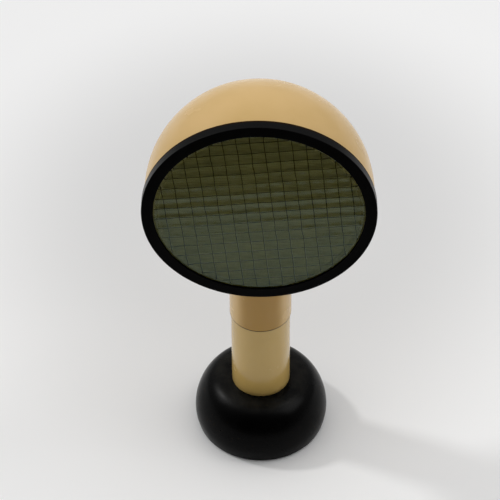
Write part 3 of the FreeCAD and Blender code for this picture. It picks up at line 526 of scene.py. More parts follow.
def centres(mesh):
    """The middle of every face of a mesh."""
    middles = np.zeros(len(mesh.polygons) * 3, np.float32)
    mesh.polygons.foreach_get("center", middles)
    return middles.reshape(-1, 3)


def paint(piece, index, *materials):
    """Gives a piece further finishes: index says for each face which one it has, 0 the first."""
    for material in materials:
        piece.data.materials.append(material)
    piece.data.polygons.foreach_set("material_index", index.astype(np.int32))


def crease_tree():
    """Geometry nodes that join loose triangles and keep edges over 35 degrees sharp."""
    tree = bpy.data.node_groups.new("crease", "GeometryNodeTree")
    for way in ("INPUT", "OUTPUT"):
        tree.interface.new_socket("Geometry", in_out=way, socket_type="NodeSocketGeometry")
    entry = add(tree, "NodeGroupInput")
    merged = add(tree, "GeometryNodeMergeByDistance", {"Distance": 2e-6},
                 {"Geometry": entry.outputs[0]})
    angle = add(tree, "GeometryNodeInputMeshEdgeAngle")
    soft = add(tree, "FunctionNodeCompare", {"operation": "LESS_THAN", 1: math.radians(35)},
               {0: angle.outputs["Unsigned Angle"]})
    edges = add(tree, "GeometryNodeSetShadeSmooth", {"domain": "EDGE"},
                {"Geometry": merged.outputs[0], "Shade Smooth": soft.outputs[0]})
    faces = add(tree, "GeometryNodeSetShadeSmooth", {"domain": "FACE", "Shade Smooth": True},
                {"Geometry": edges.outputs[0]})
    add(tree, "NodeGroupOutput", links={0: faces.outputs[0]})
    return tree


# ---------------------------------------------------------------- sizes and colours
def length(name, description, size):
    """A length that a user may change; size is its default in millimetres."""
    return bpy.props.FloatProperty(name=name, description=description, default=size * MM,
                                   unit="LENGTH")


def level(name, description, default, **options):
    """A light's strength, which a user may change."""
    return bpy.props.FloatProperty(name=name, description=description, default=default, min=0,
                                   **options)


class LampBase(bpy.types.PropertyGroup):
    """Sizes of the moulded base."""
    bulge: length("Bulge height", "Height of the base's widest circle", 16)
    crest: length("Crest radius", "Radius of the base's highest circle", 36)
    lip_drop: length("Lip drop", "Fall of the rubber from its crest to the tube", 0.4)
    gland_bore: length("Gland bore", "Radius of the gland's bore for the cord", 3.4)
    gland_radius: length("Gland radius", "Radius of the gland's barrel", 5)
    gland_flange: length("Gland flange", "Radius of the gland's outer flange", 7)


class LampHead(bpy.types.PropertyGroup):
    """Sizes of the dome, the bezel and the glass."""
    dome_radius: length("Dome radius", "Outer radius of the spun dome", 108)
    dome_centre: length("Dome centre", "Place of the dome's centre along the head's axis", -30.4)
    dome_wall: length("Dome wall", "Thickness of the dome's sheet", 1.2)
    neck_hole: length("Neck hole", "Radius of the hole from the dome down into the neck", 16)
    ring_width: length("Bezel width", "Width of the bezel's front face", 11.2)
    clip_count: bpy.props.IntProperty(
        name="Clips", description="Number of spring clips on the bezel", default=3, min=1)
    clip_width: length("Clip width", "Width of a spring clip", 12)
    clip_thickness: length("Clip thickness", "Thickness of a spring clip", 0.8)
    clip_foot: length("Clip foot", "Height of a spring clip's foot", 2.4)
    screw_count: bpy.props.IntProperty(
        name="Screws", description="Number of screws in the retaining ring", default=6, min=1)
    screw_head: length("Screw head", "Radius of a retaining screw's head", 1.7)
    mesh_pitch: length("Mesh pitch", "Pitch of the square wire mesh in the glass", 12.5)


class LampSwitch(bpy.types.PropertyGroup):
    """Sizes of the push-button switch, the lampholder and the bulb."""
    spigot: length("Spigot radius", "Radius of the switch housing's threaded spigot", 10.8)
    cap_wall: length("Cap wall", "Wall of the housing behind its chamber", 3.6)
    chamber_length: length("Chamber length", "Length of the chamber for the button's collar", 8)
    chamber: length("Chamber radius", "Radius of the chamber for the button's collar", 6.65)
    bore: length("Button bore", "Radius of the bore that the button slides in", 5.08)
    button: length("Button radius", "Radius of the push button", 5)
    collar: length("Collar radius", "Radius of the button's collar", 6.4)
    pitch: length("Thread pitch", "Pitch of the bulb's screw thread, seven to the inch", 25.4 / 7)


class LampStage(bpy.types.PropertyGroup):
    """Colours and levels of the studio."""
    floor: bpy.props.FloatVectorProperty(
        name="Floor", description="Colour of the table top", subtype="COLOR", size=3,
        default=linear("DCDCDC")[:3], min=0, max=1)
    world: level("Room light", "Strength of the light from the sides, behind and above", 0.8)
    front: level("Front light", "Strength of the room's light from in front of the glass", 0.06)
    key: level("Window light", "Strength of the window at the left", 0.64)
    ceiling: level("Ceiling light", "Power of the lamp on the ceiling at the right", 5.2,
                   unit="POWER")


# ---------------------------------------------------------------- operators
class LAMP_OT_finishes(bpy.types.Operator):
    """Makes every finish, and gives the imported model's own nodes theirs"""
    bl_idname = "lamp.finishes"
    bl_label = "Finishes"

    def execute(self, context):
        made = finishes()
        tree = crease_tree()
        for slot, material in made.items():
            context.scene["finish_" + slot] = material.name
        for name, node in frame["nodes"].items():
            node.data.materials.clear()
            node.data.materials.append(made[SLOTS[name]])
            node.modifiers.new("crease", "NODES").node_group = tree
        return {"FINISHED"}


class LAMP_OT_base(bpy.types.Operator):
    """Makes the rubber base, its cord gland and its felt pad"""
    bl_idname = "lamp.base"
    bl_label = "Base"

    def execute(self, context):
        sizes = context.scene.lamp_base
        # a hair inside the solid that the base stands for
        radius, height, rim = BASE_HIGH.x - 0.03 * MM, BASE_HIGH.z, BASE_LOW.z
        # two arcs share a tangent at the knee, between the widest circle and the crest
        wide, tall = radius - sizes.crest, height - sizes.bulge
        chord = math.hypot(wide, tall)
        shoulder = chord * (chord - tall + wide) / (2 * tall)
        side = chord * (chord + tall - wide) / (2 * wide)
        knee = (sizes.crest + shoulder * tall / chord, height - shoulder + shoulder * wide / chord)
        # below the widest circle the side tucks in to the rounded foot
        tuck, foot_round = 2.2 * MM, 2.5 * MM
        foot = radius - tuck
        heel = (foot + 0.35 * MM, rim + 2.6 * MM)
        tuck_curve = (tuck ** 2 + (sizes.bulge - rim) ** 2) / (2 * tuck)
        bore = STEM_HIGH.x + 0.15 * MM
        lip = (bore, height - sizes.lip_drop)
        lip_curve = ((sizes.crest - bore) ** 2 + sizes.lip_drop ** 2) / (2 * sizes.lip_drop)
        # inside are a roof, a slope and an upright wall
        roof, roof_edge = height - 11.5 * MM, 46.3 * MM
        wall, wall_top = 61.5 * MM, 24 * MM
        outline = np.vstack([
            [(bore, roof), (roof_edge, roof), (wall, wall_top), (wall, rim),
             (foot - foot_round, rim)],
            arc((foot - 2.3 * MM, rim), heel, foot_round, -1, 8),
            arc(heel, (radius, sizes.bulge), tuck_curve, -1, 14),
            arc((radius, sizes.bulge), knee, side, -1, 30),
            arc(knee, (sizes.crest, height), shoulder, -1, 24),
            arc((sizes.crest, height), lip, lip_curve, -1, 10),
            [lip],
        ])
        base = make_piece("rubber_base", [(turned(outline, 192), True, True)], "base_moulding")
        low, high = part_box("cord_gland")
        axis = (low.z + high.z) / 2
        drill(base, (0, low.y - 10 * MM, axis), (0, radius + 5 * MM, axis),
              sizes.gland_radius + 0.1 * MM)
        self.make_gland(sizes, low.y, high.y, axis, radius)
        self.make_pad()
        return {"FINISHED"}

    def make_gland(self, sizes, inner, outer, axis, base_radius):
        """The cord gland: a ribbed flange outside, a barrel through the skin, a collar inside.

        Eighteen grip ribs go round the flange: radius * (1 - 0.03 (1 + cos 18 a)).
        """
        flange, bore, barrel = base_radius + 0.05 * MM, sizes.gland_bore, sizes.gland_radius
        collar, collar_front = barrel + 0.8 * MM, inner + 1.7 * MM
        outline = soften([
            (bore, inner, 0.3 * MM), (collar, inner, 0.3 * MM), (collar, collar_front, 0.2 * MM),
            (barrel, collar_front, 0), (barrel, flange, 0), (sizes.gland_flange, flange, 0.2 * MM),
            (sizes.gland_flange, outer, 0.7 * MM), (bore, outer, 0.6 * MM),
        ], 4)
        grid = turned(outline, 144, axis)
        rim = (outline[:, 0] > barrel + 1.2 * MM)[:, None]
        ribs = 1 - 0.03 * (1 + np.cos(18 * around(144)))[None] * rim
        make_piece("ribbed_gland", [(across_axis(grid, ribs, axis), True, True)], "cord_gland")

    def make_pad(self):
        """The felt pad, whose brushed edge wanders by 0.12 sin 17 a + 0.08 sin 41 a mm."""
        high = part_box("foot_pad")[1]
        edge, angle = high.x - 0.3 * MM, around(180)
        grid = turned(soften([(0, 0, 0), (edge, 0, 0.7 * MM), (edge, high.z, 0.5 * MM),
                              (0, high.z, 0)], 4), 180)
        wander = 1 + (0.12 * MM * np.sin(17 * angle) + 0.08 * MM * np.sin(41 * angle)) / edge
        grid[..., :2] *= wander[None, :, None]
        make_piece("felt_pad", [(grid, True, True)], "foot_pad")


class LAMP_OT_neck(bpy.types.Operator):
    """Makes the stem's tube and the sleeve that is coped to the dome"""
    bl_idname = "lamp.neck"
    bl_label = "Stem and neck"

    def execute(self, context):
        outer, inner, edge = STEM_HIGH.x, STEM_HIGH.x - 1.5 * MM, 0.3 * MM
        wall = soften([(inner, STEM_LOW.z, edge), (outer, STEM_LOW.z, edge),
                       (outer, STEM_HIGH.z, edge), (inner, STEM_HIGH.z, edge)], 3)
        make_piece("steel_stem", [(turned(wall, 128), True, True)], "stem_tube")
        self.make_sleeve(context.scene.lamp_head)
        return {"FINISHED"}

    def make_sleeve(self, head):
        """The sleeve, with a rounded lower edge painted dark as shade of the joint, and the bead that
        brazes it on.
        """
        outer, inner, low = SLEEVE_HIGH.x, SLEEVE_HIGH.x - 1.0 * MM, SLEEVE_LOW.z
        middle, half, rounding = (outer + inner) / 2, (outer - inner) / 2, 0.35 * MM
        joint_shade_top = low + 1.1 * MM
        turn = np.linspace(0, math.pi, 7)
        edge = np.stack([middle - half * np.cos(turn), low + rounding * (1 - np.sin(turn))], 1)
        walls = turned(np.vstack([[(inner, joint_shade_top)], edge, [(outer, joint_shade_top)]]), 160)
        clear = head.dome_radius + 0.05 * MM
        coped = [self.under_dome(head, outer, clear), self.under_dome(head, inner, clear)]
        sleeve = make_piece("neck_tube", [(np.concatenate([walls, coped]), True, True)],
                            "neck_sleeve")
        # the neck's enamel has painted shade on its front, under the head
        sleeve.data.materials[0] = cream_enamel("cream_enamel_on_neck_painted_shade", "CAA664", "D2AE6C",
                                                0.5, neck=True)
        # painted shade: the lower edge is painted a dull brown-black for the shadow in the joint's gap
        paint(sleeve, centres(sleeve.data)[:, 2] < joint_shade_top,
              plain("painted_joint_shade", "1A1208", "2A1E10", 0.6, 0.8, 2.0, 0.1))

        offset = 0.35 * MM
        line = self.under_dome(head, outer + offset, head.dome_radius) - (0, 0, offset)
        make_piece("brazed_bead", [(tube(line, 0.8 * MM, 12, closed=True), True, True)],
                   "dome_shell", stands_for=False)

    @staticmethod
    def under_dome(head, radius, reach):
        """A circle round +Z laid on the underside of a ball about the dome's centre.

        z = head axis - sqrt(reach^2 - x^2 - (y - centre)^2).
        """
        angle = around(160)
        x, y = radius * np.cos(angle), radius * np.sin(angle)
        z = HEAD_Z - np.sqrt(reach ** 2 - x ** 2 - (y - head.dome_centre) ** 2)
        return np.stack([x, y, z], 1)


class LAMP_OT_dome(bpy.types.Operator):
    """Makes the spun dome"""
    bl_idname = "lamp.dome"
    bl_label = "Dome"

    def execute(self, context):
        head = context.scene.lamp_head
        radius, centre, wall = head.dome_radius, head.dome_centre, head.dome_wall
        inner, mouth = radius - wall, DOME_LOW.y
        rim = math.sqrt(radius ** 2 - (mouth - centre) ** 2)
        rim_inside = math.sqrt(inner ** 2 - (mouth + wall - centre) ** 2)
        lip = rim - 4 * MM
        # the switch's spigot goes through the hole at the pole
        hole = 10.9 * MM
        outside = centre + math.sqrt(radius ** 2 - hole ** 2)
        inside = centre + math.sqrt(inner ** 2 - hole ** 2)
        outline = np.vstack([
            [(lip, mouth + wall)],
            arc((rim_inside, mouth + wall), (hole, inside), inner, -1, 60),
            [(hole, inside)],
            arc((hole, outside), (rim, mouth), radius, 1, 72),
            [(rim, mouth), (lip, mouth)],
        ])
        dome = make_piece("spun_dome", [(turned(outline, 224, HEAD_Z), True, True)], "dome_shell")
        drill(dome, (0, 0, DOME_LOW.z - 5 * MM), (0, 0, HEAD_Z), head.neck_hole)
        return {"FINISHED"}


class LAMP_OT_bezel(bpy.types.Operator):
    """Makes the black bezel ring"""
    bl_idname = "lamp.bezel"
    bl_label = "Bezel"

    def execute(self, context):
        radius, face, back = BEZEL_HIGH.x, BEZEL_LOW.y, BEZEL_HIGH.y
        opening = radius - context.scene.lamp_head.ring_width
        # the lip holds the glass in its pocket, and the skirt goes over the dome's mouth
        pocket, skirt = 105 * MM, radius - 1.2 * MM
        lip, ledge, rim_shade_start = face + 2 * MM, face + 9 * MM, back - 2.2 * MM
        outline = soften([
            (opening, face, 0.4 * MM), (radius, face, 0.6 * MM), (radius, rim_shade_start, 0),
            (radius, back, 0.7 * MM), (skirt, back, 0.25 * MM), (skirt, ledge, 0),
            (pocket, ledge, 0.2 * MM), (pocket, lip, 0), (opening, lip, 0.5 * MM),
        ], 6)
        ring = make_piece("bezel_ring_turned", [(turned(outline, 256, HEAD_Z), True, True)],
                          "bezel_ring")
        # hands keep the outer wall glossier than the face; its rear edge is painted dark brown and
        # dull, as painted shade of the gap against the dome with a painted brown reflection of the
        # dome
        middles = centres(ring.data) - np.array([0.0, 0.0, HEAD_Z])
        wall = np.hypot(middles[:, 0], middles[:, 2]) > radius - 0.6 * MM
        paint(ring, wall * (1 + (middles[:, 1] > rim_shade_start)),
              black_enamel("handled_black_enamel", 0.06, 0.26, 0.36),
              plain("painted_brown_rim_shade", "1E1002", "261605", 0.5, 0.6, 3.0, 0.03))
        return {"FINISHED"}


class LAMP_OT_glass(bpy.types.Operator):
    """Makes the cast wired glass and the wires in it"""
    bl_idname = "lamp.glass"
    bl_label = "Wired glass"

    def execute(self, context):
        head = context.scene.lamp_head
        radius = GLASS_HIGH.x - 0.05 * MM
        dice = np.random.default_rng(5)
        self.make_glass(head, radius, dice)
        self.make_wires(head, radius, dice)
        return {"FINISHED"}

    def make_glass(self, head, radius, dice):
        """The glass, which swells in rows: sin(pi b)^2 (0.6 + 0.4 sin(pi a)^2).

        The rows lie a third of a cell lower than the wires, and each swelling has a height and a
        tilt of its own. The middle is cast proud of the rim, which the bezel's lip holds, and the
        swelling fades out there. Behind, the rim is bevelled.
        """
        front, back = GLASS_LOW.y + 0.06 * MM, GLASS_HIGH.y - 0.06 * MM
        proud, swelling, bevel = 1.1 * MM, 0.12 * MM, 4.2 * MM
        line = np.linspace(-1, 1, 216)
        x, z = disc(radius, line, line)
        across, upward = spin(x, z, -MESH_TURN)
        column = (across - MESH_SHIFT[0]) / head.mesh_pitch
        row = (upward - MESH_SHIFT[1]) / head.mesh_pitch + 0.33
        chance = dice.uniform(-1, 1, (3, 64, 64))
        own, lean, tip = chance[:, np.floor(column).astype(int) + 32, np.floor(row).astype(int) + 32]
        sideways, upright = np.sin(math.pi * column) ** 2, np.sin(math.pi * row) ** 2
        swell = swelling * upright * (0.6 + 0.4 * sideways + sideways * (
            0.5 * own + 1.0 * lean * (column % 1 - 0.5) + 1.5 * tip * (row % 1 - 0.5)))
        away = np.hypot(x, z)
        held = BEZEL_HIGH.x - head.ring_width - 0.2 * MM
        fade = np.clip((held - away) / MM, 0, 1)
        cut = bevel * ease(away, 93 * MM, 99.5 * MM)
        glass = make_piece("cast_glass", plate(
            np.stack([x, front - fade * (swell + proud), z + HEAD_Z], 2),
            np.stack([x, back - cut, z + HEAD_Z], 2)), "wired_glass")
        paint(glass, centres(glass.data)[:, 1] > front + 0.8 * MM, glass_back())

    def make_wires(self, head, radius, dice):
        """The square mesh of wires.

        A wire steps aside by up to 0.3 mm from cell to cell, and wanders by 0.1 sin(s / 5 + i) mm.
        """
        # the upright wires lie in front of the level ones, each by apart from the middle
        depth, apart, thick = (GLASS_LOW.y + GLASS_HIGH.y) / 2, 0.3 * MM, 0.42 * MM
        reach = int(radius / head.mesh_pitch)
        parts = []
        for upright, shift in zip((True, False), MESH_SHIFT):
            for i in range(-reach - 1, reach + 2):
                offset = i * head.mesh_pitch + shift
                if abs(offset) > radius - 3 * MM:
                    continue
                half = math.sqrt((radius - 0.5 * MM) ** 2 - offset ** 2)
                way = np.linspace(-half, half, 110)
                cell = way / head.mesh_pitch + 32
                aside = dice.uniform(-1, 1, 64)
                here, there = aside[cell.astype(int)], aside[cell.astype(int) + 1]
                side = (offset + 0.3 * MM * (here + (there - here) * ease(cell % 1, 0.35, 0.65))
                        + 0.1 * MM * np.sin(way / (5 * MM) + i))
                u, v = (side, way) if upright else (way, side)
                x, z = spin(u, v, MESH_TURN)
                y = depth + (-apart if upright else apart) + 0 * way
                parts.append((tube(np.stack([x, y, z + HEAD_Z], 1), thick, 8), False, True))
        make_piece("mesh_wires", parts, "wire_mesh")


class LAMP_OT_fittings(bpy.types.Operator):
    """Makes the bezel's spring clips and slotted screws"""
    bl_idname = "lamp.fittings"
    bl_label = "Bezel fittings"

    def execute(self, context):
        self.make_clips(context.scene.lamp_head)
        self.make_screws(context.scene.lamp_head)
        return {"FINISHED"}

    def make_clips(self, sizes):
        """The spring clips, each a bent leaf.

        A leaf stands on the retaining ring, runs back into the mouth and swells outwards to press
        on the dome's lip, with its tip turned in. Its outermost rows shrink to ease the edges.
        """
        low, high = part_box("bezel_clips")
        front, back, outer = low.y, high.y, high.z - HEAD_Z
        thick, root, eased = sizes.clip_thickness, outer - sizes.clip_foot, 0.2 * MM
        heel, neck, tip = outer - 0.3 * MM, outer - 0.2 * MM, outer - 1.4 * MM
        leaf = soften([
            (root, front, 0.2 * MM), (heel, front, 0.9 * MM), (heel, front + 3 * MM, 2 * MM),
            (outer, front + 7 * MM, 3 * MM), (neck, back - 3 * MM, 2 * MM), (tip, back, 0.2 * MM),
            (tip - thick, back, 0.2 * MM), (neck - thick, back - 3.2 * MM, 2 * MM),
            (outer - thick, front + 7 * MM, 3 * MM), (heel - thick, front + 3 * MM, 2 * MM),
            (heel - thick, front + thick, 0.3 * MM), (root, front + thick, 0.2 * MM),
        ], 4)
        half, shrunk = sizes.clip_width / 2, self.inset(leaf, eased)
        middle, rear = np.array([0.0, 0.0, HEAD_Z]), np.array([0.0, 1.0, 0.0])
        parts = []
        for angle in around(sizes.clip_count) + math.pi / 2:
            out = np.array([math.cos(angle), 0.0, math.sin(angle)])
            side = np.array([-math.sin(angle), 0.0, math.cos(angle)])
            rows = [middle + section[:, :1] * out + section[:, 1:] * rear + side * shift
                    for shift, section in ((-half, shrunk), (-half + eased, leaf),
                                           (half - eased, leaf), (half, shrunk))]
            parts += [(np.stack(rows), False, True), self.cap(rows[0]), self.cap(rows[-1])]
        make_piece("clip_leaves", parts, "bezel_clips")

    @staticmethod
    def inset(outline, depth):
        """An outline moved inwards by depth: each point goes along the inward normal there."""
        way = np.roll(outline, -1, 0) - np.roll(outline, 1, 0)
        normal = np.stack([-way[:, 1], way[:, 0]], 1) / np.hypot(*way.T)[:, None]
        area = np.sum(outline[:, 0] * np.roll(outline[:, 1], -1)
                      - outline[:, 1] * np.roll(outline[:, 0], -1))
        return outline + depth * math.copysign(1, area) * normal

    @staticmethod
    def cap(loop):
        """Closes the end of a thin strip by joining each point to the one across from it."""
        half = len(loop) // 2
        return np.stack([loop[:half], loop[::-1][:half]]), False, False

    def make_screws(self, sizes):
        """Round-headed screws with a slot: height h (1 - 0.4 (r / R)^2), less the slot's depth."""
        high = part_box("retainer_screws")[1]
        head, height, depth = sizes.screw_head, 0.7 * MM, 0.4 * MM
        circle = high.z - HEAD_Z - head
        # half the slot's width and the run of its walls, as shares of the head's radius
        slot, run = 0.16, 0.01
        across = np.sort(np.concatenate([np.linspace(-1, 1, 13),
                                         [-slot - run, -slot, slot, slot + run]]))
        x, z = disc(head, across, np.linspace(-1, 1, 13))
        rise = height * (1 - 0.4 * (x ** 2 + z ** 2) / head ** 2)
        rise[np.abs(across) <= slot + 1e-6] -= depth
        parts = []
        for i, angle in enumerate(around(sizes.screw_count)):
            u, v = spin(x, z, 0.9 * i)
            u, v = u + circle * math.cos(angle), v + circle * math.sin(angle) + HEAD_Z
            seat = high.y - height
            parts += plate(np.stack([u, seat + rise, v], 2), np.stack([u, seat + 0 * rise, v], 2))
        make_piece("slotted_screws", parts, "retainer_screws")


class LAMP_OT_switch(bpy.types.Operator):
    """Makes the switch housing with its grip flutes, and its push button"""
    bl_idname = "lamp.switch"
    bl_label = "Switch"

    def execute(self, context):
        sizes, head = context.scene.lamp_switch, context.scene.lamp_head
        low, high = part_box("switch_housing")
        self.make_housing(sizes, head, low, high)
        self.make_button(sizes, high.y - sizes.cap_wall)
        return {"FINISHED"}

    def make_housing(self, sizes, head, low, high):
        """The housing: a spigot, a seat that fits the dome, a fluted wall and a chamber.

        Thirty-six grip flutes go round the wall: radius - 0.5 mm * w * |sin 18 a|^3, where w
        rises from 0 to 1 over a millimetre at both ends.
        """
        tip, back, radius = low.y, high.y, high.x
        seat, edge = head.dome_radius + 0.05 * MM, 0.5 * MM
        rim = head.dome_centre + math.sqrt(seat ** 2 - radius ** 2)
        root = head.dome_centre + math.sqrt(seat ** 2 - sizes.spigot ** 2)
        chamber_back = back - sizes.cap_wall
        chamber_front = chamber_back - sizes.chamber_length
        outline = np.vstack([
            [(0, tip), (sizes.spigot - 0.6 * MM, tip), (sizes.spigot, tip + 0.6 * MM)],
            arc((sizes.spigot, root), (radius - edge, rim), seat, -1, 8),
            [(radius - edge, rim), (radius, rim + edge)],
            [(radius, y) for y in np.linspace(rim + 1.2 * MM, back - 4.2 * MM, 10)],
            soften([(radius, rim + 8 * MM, 0), (radius, back, 3 * MM),
                    (sizes.bore, back, 0.5 * MM), (sizes.bore, chamber_back, 0)], 7)[1:],
            [(sizes.chamber, chamber_back), (sizes.chamber, chamber_front), (0, chamber_front)],
        ])
        along = outline[:, 1]
        window = np.clip(np.minimum(along - rim - 1.4 * MM, back - 4.4 * MM - along) / MM, 0, 1)
        window *= outline[:, 0] > radius - 0.1 * MM
        flute = 0.5 * MM / radius * np.abs(np.sin(18 * around(288))) ** 3
        grid = across_axis(turned(outline, 288, HEAD_Z), 1 - window[:, None] * flute[None])
        make_piece("switch_body", [(grid, False, True)], "switch_housing")

    def make_button(self, sizes, chamber_back):
        """The push button: a plunger, a collar a hair clear of the chamber and a crowned head."""
        low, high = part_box("switch_button")
        crown, edge, plunger = 0.8 * MM, 0.5 * MM, 3 * MM
        collar_back = chamber_back - 0.03 * MM
        collar_front = collar_back - 2 * MM
        shoulder, flat = sizes.button - edge, high.y - crown
        crown_curve = (shoulder ** 2 + crown ** 2) / (2 * crown)
        outline = np.vstack([
            [(0, low.y), (plunger, low.y), (plunger, collar_front), (sizes.collar, collar_front),
             (sizes.collar, collar_back), (sizes.button, collar_back)],
            arc((sizes.button, flat - edge), (shoulder, flat), edge, -1, 6),
            arc((shoulder, flat), (0, high.y), crown_curve, -1, 12),
            [(0, high.y)],
        ])
        make_piece("push_button", [(turned(outline, 96, HEAD_Z), False, True)], "switch_button")


class LAMP_OT_bulb(bpy.types.Operator):
    """Makes the rolled threads of the lampholder and bulb, and the bulb's filament"""
    bl_idname = "lamp.bulb"
    bl_label = "Bulb"

    def execute(self, context):
        sizes = context.scene.lamp_switch
        self.make_thread("threaded_shell", "lampholder_shell", 13.65 * MM, 0.35 * MM, sizes.pitch)
        self.make_thread("threaded_cap", "bulb_cap", 12.8 * MM, 0, sizes.pitch)
        front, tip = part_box("bulb_cap")[0].y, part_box("bulb_glass")[0].y + 20 * MM
        # the glass mount is a rod that flares into the cap: r = 2.2 + 6 exp(-s / 3) mm
        away = np.linspace(0, front - tip - 8 * MM, 24)
        rod = np.stack([2.2 * MM + 6 * MM * np.exp(-away / (3 * MM)), front - away], 1)
        end = rod[-1, 1] - 1 * MM
        mount = turned(np.vstack([[(0, front)], rod, [(0, end)]]), 40, HEAD_Z)
        make_piece("glass_mount", [(mount, False, True)], "bulb_glass", stands_for=False)
        self.make_filament(front, tip, end)
        return {"FINISHED"}

    def make_filament(self, front, tip, mount_end):
        """The filament, its two leads and its hook.

        The filament is a coil of radius 0.45 mm on an arch from lead to lead:
        (12 t, 3 t^2, 2 cos(pi t / 2)) mm for t from -1 to 1.
        """
        t = np.linspace(-1, 1, 900)
        half, sag, rise = 12 * MM, 3 * MM, 2 * MM
        arch = np.stack([half * t, tip + sag * t ** 2, HEAD_Z + rise * np.cos(math.pi * t / 2)], 1)
        turns = 60 * math.pi * (t + 1)
        coil = arch + 0.45 * MM * np.stack([0 * t, np.cos(turns), np.sin(turns)], 1)
        parts = [(tube(coil, 0.12 * MM, 6), False, True)]
        for side in (-1, 1):
            lead = np.array([(side * 2 * MM, front - 6 * MM, HEAD_Z),
                             (side * 3 * MM, front - 14 * MM, HEAD_Z),
                             (side * 9 * MM, tip + 8 * MM, HEAD_Z),
                             (side * half, tip + sag, HEAD_Z)])
            parts.append((tube(smooth(lead, 30), 0.3 * MM, 8), False, True))
        hook = np.array([(0, mount_end, HEAD_Z), (0, tip + 5 * MM, HEAD_Z + 1 * MM),
                         (0, tip, HEAD_Z + 2.4 * MM)])
        parts.append((tube(smooth(hook, 16), 0.2 * MM, 6), False, True))
        wires = make_piece("filament", parts, "switch_housing", stands_for=False)
        wires.data.materials[0] = metal("tungsten_and_nickel_wire", "8E8E90", "A6A6A8", 0.3, 0.45)

    def make_thread(self, name, node, radius, wall, pitch):
        """A rolled brass sleeve, r = radius + 0.35 cos(2 pi y / pitch - a) mm, faded at its ends.

        With no wall it is the bulb's cap, closed in front and tapered to the contact behind.
        """
        low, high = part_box(node)
        count, ends, nose = 96, 1.5 * MM, high.y - 3 * MM
        y = np.linspace(low.y, high.y if wall else nose, 150)[:, None]
        angle = around(count)[None]
        fade = np.clip(np.minimum(y - y[0], y[-1] - y) / ends, 0, 1)
        wave = radius + 0.35 * MM * np.cos(2 * math.pi * y / pitch - angle) * fade
        inner, outer = (np.stack([r * np.cos(angle), y + 0 * angle, r * np.sin(angle) + HEAD_Z], 2)
                        for r in (wave, wave + wall))
        if wall:
            make_piece(name, [(np.concatenate([inner, outer[::-1]]), True, True)], node)
            return
        taper = turned([(radius, nose), (9 * MM, high.y - 1.2 * MM), (4.8 * MM, high.y - 0.9 * MM),
                        (4.4 * MM, high.y), (0, high.y)], count, HEAD_Z)
        face = turned([(0, low.y), (radius, low.y)], count, HEAD_Z)
        make_piece(name, [(np.concatenate([face, inner[1:], taper[1:]]), False, True)], node)


